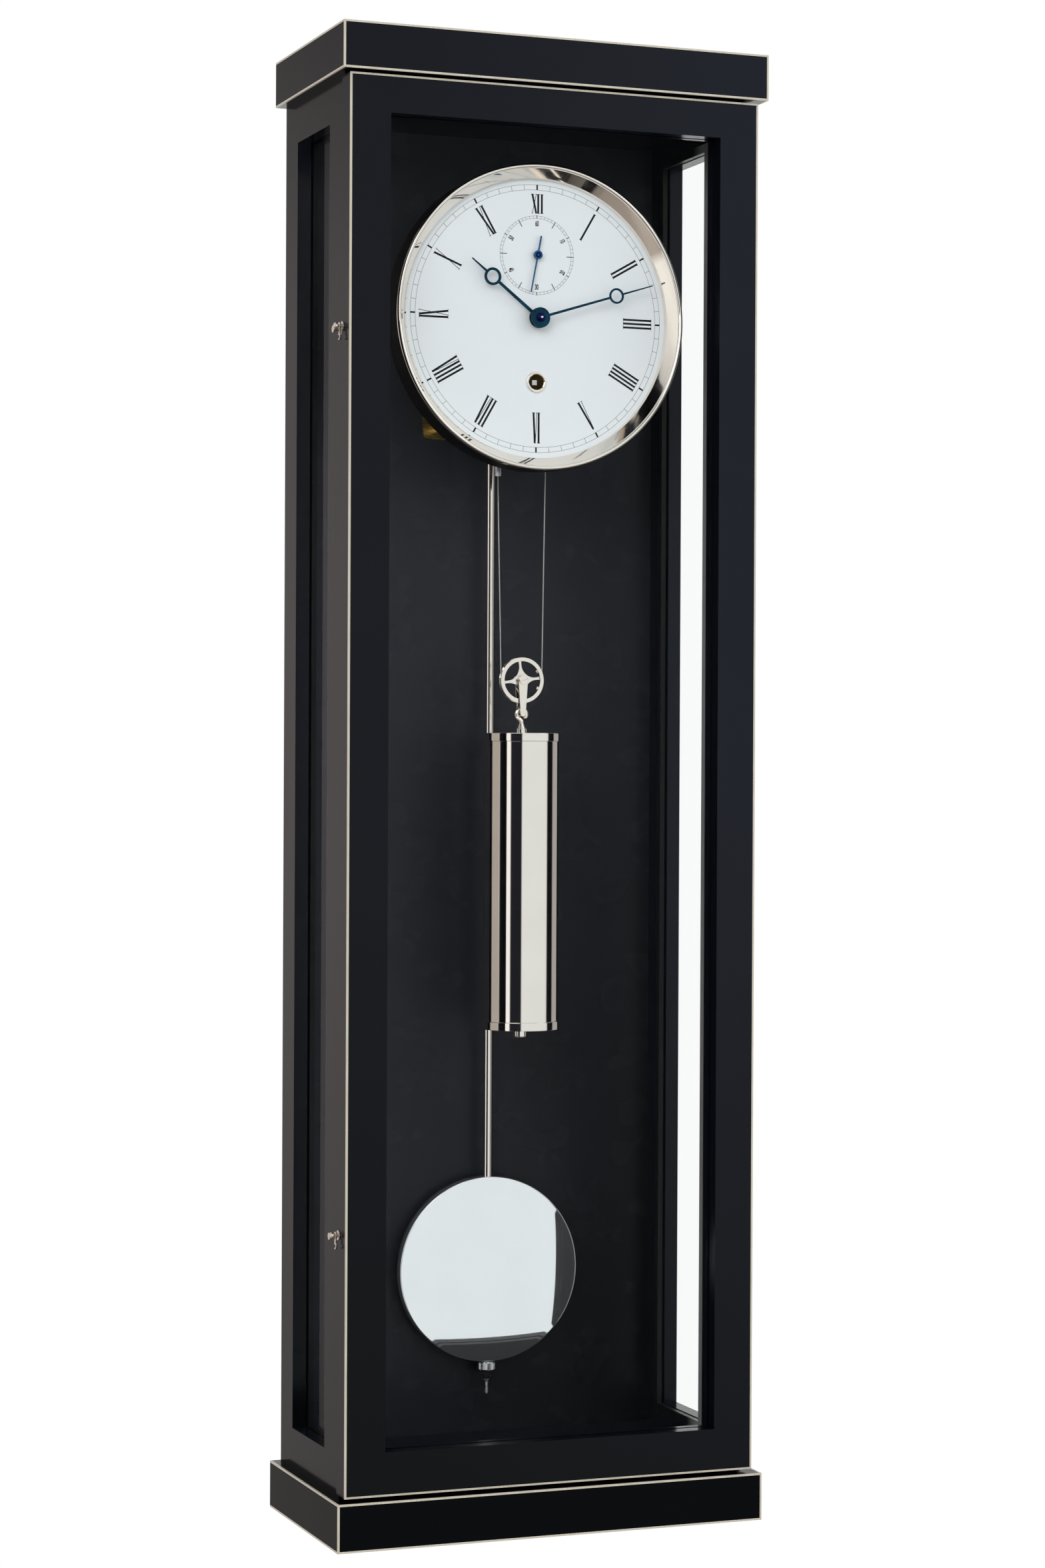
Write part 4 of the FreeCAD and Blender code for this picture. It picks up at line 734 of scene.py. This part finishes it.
def makeGrip(s):
    low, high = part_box("rating_nut")
    centre = Vector(((low.x + high.x) / 2, (low.y + high.y) / 2, low.z))
    reach = (high.x - low.x) / 2 / mm
    tall = (high.z - low.z) / mm
    edge, land = s["edge"], s["land"]
    lower = [(s["bore"], 0), (reach - edge, 0), (reach - land, edge), (reach, edge + land)]
    profile = lower + [(out, tall - along) for out, along in reversed(lower)]
    grooved = (len(lower) - 1, len(lower))
    bm = bmesh.new()
    turnProfile(bm, profile, centre, toTop, s["grooves"] * 2, grooved, s["groove"])
    grip = newPiece("knurledGrip", bm, knurlSteel, "rating_nut")
    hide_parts("rating_nut")


threadSet = {
    "reach": 1.22,
    "depth": 0.12,
    "pitch": 0.5,
    "steps": 20,
    "start": 0.1,          # up from the rod's end
    "shorter": 0.4,        # than the room for it
    "collar": [(1.15, -0.9), (1.7, -0.9), (2.05, -0.5), (2.15, 0.0), (2.05, 0.35), (1.15, 0.35)],
    "collarSteps": 40,
}


def makeThread(s):
    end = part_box("pendulum_rod")[0].z
    tipLow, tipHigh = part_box("rod_tip")
    foot = Vector(((tipLow.x + tipHigh.x) / 2, (tipLow.y + tipHigh.y) / 2, end))
    tall = (tipLow.z - end) / mm - s["shorter"]
    steps = s["steps"]
    bm = bmesh.new()
    crests = []
    roots = []
    for i in range(int(tall / s["pitch"] * steps)):
        turn = 2 * math.pi * i / steps
        rise = s["pitch"] * i / steps + s["start"]
        for line, reach, lift in ((crests, s["reach"], 0), (roots, s["reach"] - s["depth"], s["pitch"] / 2)):
            spot = Vector((math.cos(turn) * reach, math.sin(turn) * reach, rise + lift)) * mm
            line.append(bm.verts.new(foot + spot))
    for i in range(len(crests) - 1):
        bm.faces.new((crests[i], crests[i + 1], roots[i + 1], roots[i]))
        if i + steps + 1 < len(crests):
            bm.faces.new((roots[i], roots[i + 1], crests[i + steps + 1], crests[i + steps]))
    newPiece("rodThread", bm, steel, "pendulum")
    bm = bmesh.new()
    turnProfile(bm, s["collar"], Vector((foot.x, foot.y, tipLow.z)), toTop, s["collarSteps"])
    newPiece("tipCollar", bm, knurlSteel, "pendulum", 30)


capSet = {
    "ring": [(0.75, -0.05), (0.75, 0.12), (1.0, 0.3), (1.35, 0.36), (1.7, 0.3), (1.9, 0.1), (1.9, -0.05)],
    "steps": 32,
}


def makeSecondsCap(s):
    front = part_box("seconds_hand")[0].y
    bm = bmesh.new()
    turnProfile(bm, s["ring"], Vector((secondsCentre.x, front, secondsCentre.z)), toFront, s["steps"])
    newPiece("secondsCap", bm, nutBlue, "escape", 40)


arborSet = {
    "end": [(0.02, -0.1), (0.85, -0.1), (0.85, 0.05), (0.6, 0.25), (0.02, 0.3)],
    "steps": 24,
}


def makeArborEnd(s):
    bm = bmesh.new()
    turnProfile(bm, s["end"], frontOf("hand_nut"), toFront, s["steps"])
    newPiece("arborEnd", bm, nickel, "minute", 30)


makeBezel(bezelSet)
makeLens(lensSet)
makeSpring(springSet)
makeGrip(gripSet)
makeThread(threadSet)
makeSecondsCap(capSet)
makeArborEnd(arborSet)
print("turned pieces and suspension ready")


# weight cable, from the drum round the pulley to its end fitting
wireSet = {
    "strand": (0.78, 0.77, 0.74),
    # painted shade: the grooves between the strands are coloured darker
    "between": (0.30, 0.29, 0.27),
    "tones": (0.1, 0.6),
    "waveScale": 0.5,
    "unevenness": 0.4,
    "roughness": (0.35, 0.18),
    "bump": (0.6, 0.1 * mm),
}
cableSet = {
    "diameter": 0.8 * mm,
    "depth": -79.0 * mm,
    "route": [                  # x and z, control points of the line
        (19.4, -163.0), (16.7, -358.6), (16.7, -370.81), (7.91, -379.6),
        (-4.51, -379.6), (-13.3, -370.81), (-13.3, -358.6), (-16.3, -225.0)],
    "fineness": 24,             # points read from the line for each stretch
    "sides": 14,
    "strands": 7,
    "lay": 6.0 * mm,            # length of one turn of the strands
}


def makeWire(s):
    material, tree, shader = startFinish("wireCable")
    shader.inputs["Metallic"].default_value = 1
    coords = tree.nodes.new("ShaderNodeUVMap")
    coords.uv_map = "lay"
    wave = tree.nodes.new("ShaderNodeTexWave")
    wave.inputs["Scale"].default_value = s["waveScale"]
    wave.inputs["Distortion"].default_value = s["unevenness"]
    tree.links.new(coords.outputs["UV"], wave.inputs["Vector"])
    strands = wave.outputs["Fac"]
    addPaint(tree, shader, strands, s["between"], s["strand"], s["tones"])
    addRoughness(tree, shader, strands, s["roughness"], (0, 1))
    addBump(tree, shader, strands, *s["bump"])
    return material


def readRoute(s):
    curve = bpy.data.curves.new("cableRoute", "CURVE")
    curve.dimensions = "3D"
    curve.resolution_u = s["fineness"]
    spline = curve.splines.new("NURBS")
    spline.points.add(len(s["route"]) - 1)
    for point, (x, z) in zip(spline.points, s["route"]):
        point.co = (x * mm, s["depth"], z * mm, 1)
    spline.order_u = 3
    spline.use_endpoint_u = True
    holder = bpy.data.objects.new("cableRoute", curve)
    line = bpy.data.meshes.new_from_object(holder)
    points = [vertex.co.copy() for vertex in line.vertices]
    bpy.data.objects.remove(holder)
    bpy.data.curves.remove(curve)
    bpy.data.meshes.remove(line)
    return points


def makeCable(s):
    points = readRoute(s)
    sides = s["sides"]
    bm = bmesh.new()
    uvs = bm.loops.layers.uv.new("lay")
    outOfPlane = Vector((0, 1, 0))
    rings = []
    along = 0.0
    places = []
    for i, point in enumerate(points):
        before, after = points[max(i - 1, 0)], points[min(i + 1, len(points) - 1)]
        ahead = (after - before).normalized()
        across = outOfPlane.cross(ahead).normalized()
        along += (point - before).length
        places.append(along)
        ring = []
        for k in range(sides):
            turn = 2 * math.pi * k / sides
            out = across * math.cos(turn) + outOfPlane * math.sin(turn)
            ring.append(bm.verts.new(point + out * s["diameter"] / 2))
        rings.append(ring)
    for i in range(len(rings) - 1):
        here, there = places[i], places[i + 1]
        for k in range(sides):
            after = (k + 1) % sides
            face = bm.faces.new((rings[i][k], rings[i][after], rings[i + 1][after], rings[i + 1][k]))
            corners = ((k, here), (k + 1, here), (k + 1, there), (k, there))
            for loop, (share, place) in zip(face.loops, corners):
                turns = share / sides * s["strands"] + place / s["lay"] * s["strands"]
                loop[uvs].uv = (turns, place)
    bm.faces.new(reversed(rings[0]))
    bm.faces.new(rings[-1])
    cable = newPiece("weightCable", bm, makeWire(wireSet), None, 40)
    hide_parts("cable_runs", "cable_pulley_bend")
    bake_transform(cable)
    print("weight cable:", round(places[-1], 4), "m")


makeCable(cableSet)


# printing on the dial
inkSet = {
    "black": (0.006, 0.007, 0.009),
    "worn": (0.011, 0.012, 0.015),
    "tones": (0.4, 0.75),
    "specks": (1500, 2),
    "roughness": (0.4, 0.55),
    "gloss": 0.15,
    "bump": (0.1, 0.01 * mm),
    "rise": 0.06 * mm,
    "sink": 0.01 * mm,
}


def makeInk(s):
    material, tree, shader = startFinish("dialInk")
    specks = addNoise(tree, objectSpace(tree), *s["specks"])
    addPaint(tree, shader, specks, s["black"], s["worn"], s["tones"])
    addRoughness(tree, shader, specks, s["roughness"])
    shader.inputs["Specular IOR Level"].default_value = s["gloss"]
    addBump(tree, shader, specks, *s["bump"])
    return material


ink = makeInk(inkSet)
inkFront = Vector((0, -inkSet["rise"], 0))      # from the dial's face to the front and the back of the print
inkBack = Vector((0, inkSet["sink"], 0))


def onDial(centre, x, z, turn):
    # a place in millimetres from the centre, turned clockwise about it
    c, s = math.cos(turn), math.sin(turn)
    return centre + Vector((x * c + z * s, 0, z * c - x * s)) * mm


def printShape(bm, outline, centre, turn):
    front = []
    back = []
    for x, z in outline:
        place = onDial(centre, x, z, turn)
        front.append(bm.verts.new(place + inkFront))
        back.append(bm.verts.new(place + inkBack))
    bm.faces.new(front)
    bm.faces.new(list(reversed(back)))
    for i in range(len(front)):
        after = (i + 1) % len(front)
        bm.faces.new((front[i], back[i], back[after], front[after]))


def printBar(bm, low, high, width, centre, turn):
    half = width / 2
    printShape(bm, [(-half, low), (half, low), (half, high), (-half, high)], centre, turn)


def printRing(bm, radius, width, centre, steps):
    inner, outer = radius - width / 2, radius + width / 2
    loops = []
    for reach, away in ((inner, inkFront), (outer, inkFront), (outer, inkBack), (inner, inkBack)):
        turns = [2 * math.pi * k / steps for k in range(steps)]
        loops.append([bm.verts.new(onDial(centre, 0, reach, turn) + away) for turn in turns])
    joinRings(bm, loops + loops[:1])


minuteTrackSet = {
    "outer": 90.7,
    "inner": 87.2,
    "line": 0.16,
    "tick": 0.20,
    "bar": 1.1,
    "steps": 240,
}


def makeMinuteTrack(s):
    bm = bmesh.new()
    printRing(bm, s["outer"], s["line"], dialCentre, s["steps"])
    printRing(bm, s["inner"], s["line"], dialCentre, s["steps"])
    for minute in range(60):
        turn = math.radians(minute * 6)
        width = s["tick"] if minute % 5 else s["bar"]
        printBar(bm, s["inner"], s["outer"], width, dialCentre, turn)
    newPiece("minuteTrack", bm, ink, "case")


hourNumeralSet = {
    "foot": 63.6,
    "top": 84.5,
    "shortFoot": 71.3,          # twelve stops above the seconds ring
    "thick": 1.35,
    "thin": 0.36,
    "serif": 0.32,
    "serifOver": 0.42,
    "pitch": 2.65,
    "closer": 0.52,             # share of the pitch beside a V or an X
    "point": 0.42,              # where a V's thick stroke ends, as a share of its width
    "widths": {"I": 0.0, "V": 2.4, "X": 2.9},
    "hours": ["XII", "I", "II", "III", "IIII", "V", "VI", "VII", "VIII", "IX", "X", "XI"],
    "upright": (4, 5, 6, 7, 8),  # these have their tops towards the centre
}


def slant(topX, lowX, top, low, width):
    half = width / 2
    return [(lowX - half, low), (lowX + half, low), (topX + half, top), (topX - half, top)]


def numeralShapes(s, word, low, top):
    # strokes of one numeral, standing upright and centred on x = 0
    shapes = []
    thick, thin, serif = s["thick"], s["thin"], s["serif"]

    def cap(x, width, level, inward):
        reach = width / 2 + s["serifOver"]
        shapes.append([(x - reach, level), (x + reach, level),
                       (x + reach, level + inward), (x - reach, level + inward)])

    gap = s["pitch"]
    widths = [s["widths"][letter] for letter in word]
    gaps = [gap if pair == ("I", "I") else gap * s["closer"] for pair in zip(word, word[1:])]
    x = -(sum(widths) + sum(gaps)) / 2
    for i, letter in enumerate(word):
        width = widths[i]
        if letter == "I":
            shapes.append(slant(x, x, top, low, thick))
            cap(x, thick, top, -serif)
            cap(x, thick, low, serif)
        elif letter == "V":
            shapes.append(slant(x, x + width * s["point"], top, low, thick))
            shapes.append(slant(x + width, x + width * (1 - s["point"]), top, low, thin))
            cap(x, thick, top, -serif)
            cap(x + width, thin, top, -serif)
        else:
            shapes.append(slant(x, x + width, top, low, thick))
            shapes.append(slant(x + width, x, top, low, thin))
            for level, inward in ((top, -serif), (low, serif)):
                for side in (x, x + width):
                    isThick = (side == x) == (level == top)
                    cap(side, thick if isThick else thin, level, inward)
        x += width + (gaps[i] if i < len(gaps) else 0)
    return shapes


def makeHourNumerals(s):
    bm = bmesh.new()
    for hour, word in enumerate(s["hours"]):
        low = s["shortFoot"] if hour == 0 else s["foot"]
        turn = math.radians(hour * 30)
        for shape in numeralShapes(s, word, low, s["top"]):
            if hour in s["upright"]:
                shape = [(-x, low + s["top"] - z) for x, z in shape]
            printShape(bm, shape, dialCentre, turn)
    newPiece("hourNumerals", bm, ink, "case")


secondsTrackSet = {
    "outer": 26.7,
    "inner": 25.0,
    "line": 0.13,
    "tick": 0.15,
    "tenTick": (25.0, 27.1, 0.5),
    "fiveBar": (21.7, 26.7, 0.5),
    "steps": 160,
}


def makeSecondsTrack(s):
    bm = bmesh.new()
    printRing(bm, s["outer"], s["line"], secondsCentre, s["steps"])
    printRing(bm, s["inner"], s["line"], secondsCentre, s["steps"])
    for second in range(60):
        turn = math.radians(second * 6)
        if second % 10 == 0:
            printBar(bm, *s["tenTick"], secondsCentre, turn)
        elif second % 5 == 0:
            printBar(bm, *s["fiveBar"], secondsCentre, turn)
        else:
            printBar(bm, s["inner"], s["outer"], s["tick"], secondsCentre, turn)
    newPiece("secondsTrack", bm, ink, "case")


secondsNumeralSet = {
    "radius": 21.5,
    "height": 3.9,
    "narrow": 0.5,
    "bolder": 0.03,
    "curveSteps": 6,
    "labels": ["60", "10", "20", "30", "40", "50"],
    "upright": (2, 3, 4),        # these have their tops towards the small ring's centre
}


def makeSecondsNumerals(s):
    bm = bmesh.new()
    for i, label in enumerate(s["labels"]):
        words = bpy.data.curves.new("label", "FONT")
        words.body = label
        words.align_x = "CENTER"
        words.extrude = (inkSet["rise"] + inkSet["sink"]) / 2 / mm
        words.offset = s["bolder"]
        words.resolution_u = s["curveSteps"]
        holder = bpy.data.objects.new("label", words)
        shape = bpy.data.meshes.new_from_object(holder)
        bpy.data.objects.remove(holder)
        bpy.data.curves.remove(words)
        lowest = min(v.co.y for v in shape.vertices)
        highest = max(v.co.y for v in shape.vertices)
        tall = s["height"] / (highest - lowest)
        turn = math.radians(i * 60)
        flip = -1 if i in s["upright"] else 1
        for vertex in shape.vertices:
            x = vertex.co.x * tall * s["narrow"] * flip
            z = s["radius"] + (vertex.co.y - (lowest + highest) / 2) * tall * flip
            away = inkFront if vertex.co.z > 0 else inkBack
            vertex.co = onDial(secondsCentre, x, z, turn) + away
        bm.from_mesh(shape)
        bpy.data.meshes.remove(shape)
    newPiece("secondsNumerals", bm, ink, "case")


makeMinuteTrack(minuteTrackSet)
makeHourNumerals(hourNumeralSet)
makeSecondsTrack(secondsTrackSet)
makeSecondsNumerals(secondsNumeralSet)
print("dial printed")


# floor, lamps and the white room
floorSet = {
    "level": -1.45,
    "half": 1.25,
    "segments": 8,
    "colour": (0.93, 0.93, 0.93),
    "shade": 0.985,
    "clouds": (3, 3),
    "roughness": (0.75, 0.9),
    "lift": 0.46,          # brings the floor that is seen up to the room's white
}


def addSeen(tree, path):
    # 1 for what the camera sees straight on, in metal or through glass
    seen = path.outputs["Is Camera Ray"]
    for kind in ("Is Glossy Ray", "Is Transmission Ray"):
        seen = addMath(tree, "MAXIMUM", seen, path.outputs[kind])
    return seen


def makeFloor(s):
    material, tree, shader = startFinish("paleFloor")
    cloud = addNoise(tree, objectSpace(tree), *s["clouds"])
    addPaint(tree, shader, cloud, tuple(v * s["shade"] for v in s["colour"]), s["colour"])
    addRoughness(tree, shader, cloud, s["roughness"])
    shader.inputs["Emission Color"].default_value = (1, 1, 1, 1)
    seen = addSeen(tree, tree.nodes.new("ShaderNodeLightPath"))
    tree.links.new(addRange(tree, seen, 0, s["lift"], 0, 1), shader.inputs["Emission Strength"])
    bm = bmesh.new()
    bmesh.ops.create_grid(bm, x_segments=s["segments"], y_segments=s["segments"], size=s["half"])
    mesh = bpy.data.meshes.new("floor")
    bm.to_mesh(mesh)
    bm.free()
    mesh.materials.append(material)
    floor = bpy.data.objects.new("floor", mesh)
    floor.location = (0, 0, s["level"])
    floor.visible_glossy = False
    floor.visible_transmission = False
    bpy.context.scene.collection.objects.link(floor)


# the white room; polished metal also sees its dark and grey screens, by the compass round the clock
white = (1.0, 1.0, 1.0)
roomSet = {
    "fill": 0.5,           # soft light from all round
    "white": 1.0,          # what the camera and the glass see
    "screens": [           # from and to, in degrees rightwards from straight in front, and colour
        (-180, -177, white),
        (-174, -146, (0.57, 0.51, 0.50)),
        (-143, -90, (0.42, 0.38, 0.35)),
        (-86, -53, white),
        (-50, -19, (0.012, 0.013, 0.018)),
        (-16, 63, (0.79, 0.82, 0.83)),
        (67, 67, (0.08, 0.08, 0.09)),
        (71, 128, (0.40, 0.38, 0.38)),
        (134, 180, white)],
    "below": [             # the floor as polished metal sees it, by degrees of height
        (-33, (0.40, 0.36, 0.33)), (-27, white)],
    "behind": [            # heights on the left, behind the clock, and how much of the light is there
        (-16, 0.72), (-12, 0.75), (-8, 0.92), (-2, 1.12), (3, 1.12), (8, 0.98), (12, 0.52), (16, 0.4)],
    "behindSpan": [        # where those heights count, and how much
        (-177, 0), (-174, 1), (-146, 1), (-143, 0)],
}


def compassPlace(angle):
    return (angle + 180) / 360


def heightPlace(angle):
    return math.sin(math.radians(angle)) / 2 + 0.5


def makeRoom(s):
    world = bpy.data.worlds.new("whiteRoom")
    bpy.context.scene.world = world
    world.use_nodes = True
    tree = world.node_tree
    back = tree.nodes["Background"]
    coords = tree.nodes.new("ShaderNodeTexCoord")
    place = addSplit(tree, coords.outputs["Generated"])
    ahead = addMath(tree, "MULTIPLY", place["Y"], -1)
    compass = addMath(tree, "ARCTAN2", place["X"], ahead)
    turn = addRange(tree, compass, 0, 1, -math.pi, math.pi)
    height = addRange(tree, place["Z"], 0, 1, -1, 1)
    stops = []
    for start, end, colour in s["screens"]:
        for angle in sorted({start, end}):
            stops.append((compassPlace(angle), colour))
    screens = addColours(tree, turn, stops)
    fade = addColours(tree, height, [(heightPlace(angle), (v, v, v)) for angle, v in s["behind"]])
    span = addColours(tree, turn, [(compassPlace(angle), (v, v, v)) for angle, v in s["behindSpan"]])
    below = addColours(tree, height, [(heightPlace(angle), tone) for angle, tone in s["below"]])
    screens = addMix(tree, "MULTIPLY", screens, fade, span)
    screens = addMix(tree, "MULTIPLY", screens, below, 1)
    path = tree.nodes.new("ShaderNodeLightPath")
    room = addMix(tree, "MIX", (*white, 1), screens, path.outputs["Is Glossy Ray"])
    tree.links.new(room, back.inputs["Color"])
    seen = addSeen(tree, path)
    tree.links.new(addRange(tree, seen, s["fill"], s["white"], 0, 1), back.inputs["Strength"])


lampSet = {
    "softboxLeft": {"place": (-1.5, -2.1, 0.75), "size": 1.5, "power": 15.4},
    "softboxRight": {"place": (2.1, -1.7, 0.95), "size": 1.3, "power": 6.4},
}
lampAim = Vector((0, -0.1, -0.4))


def makeLamps(s):
    for name, lamp in s.items():
        data = bpy.data.lights.new(name, "AREA")
        data.size = lamp["size"]
        data.energy = lamp["power"]
        holder = bpy.data.objects.new(name, data)
        holder.location = lamp["place"]
        holder.rotation_euler = (lampAim - holder.location).to_track_quat("-Z", "Y").to_euler()
        holder.visible_glossy = False
        bpy.context.scene.collection.objects.link(holder)


makeFloor(floorSet)
makeRoom(roomSet)
makeLamps(lampSet)
print("room and lamps ready")
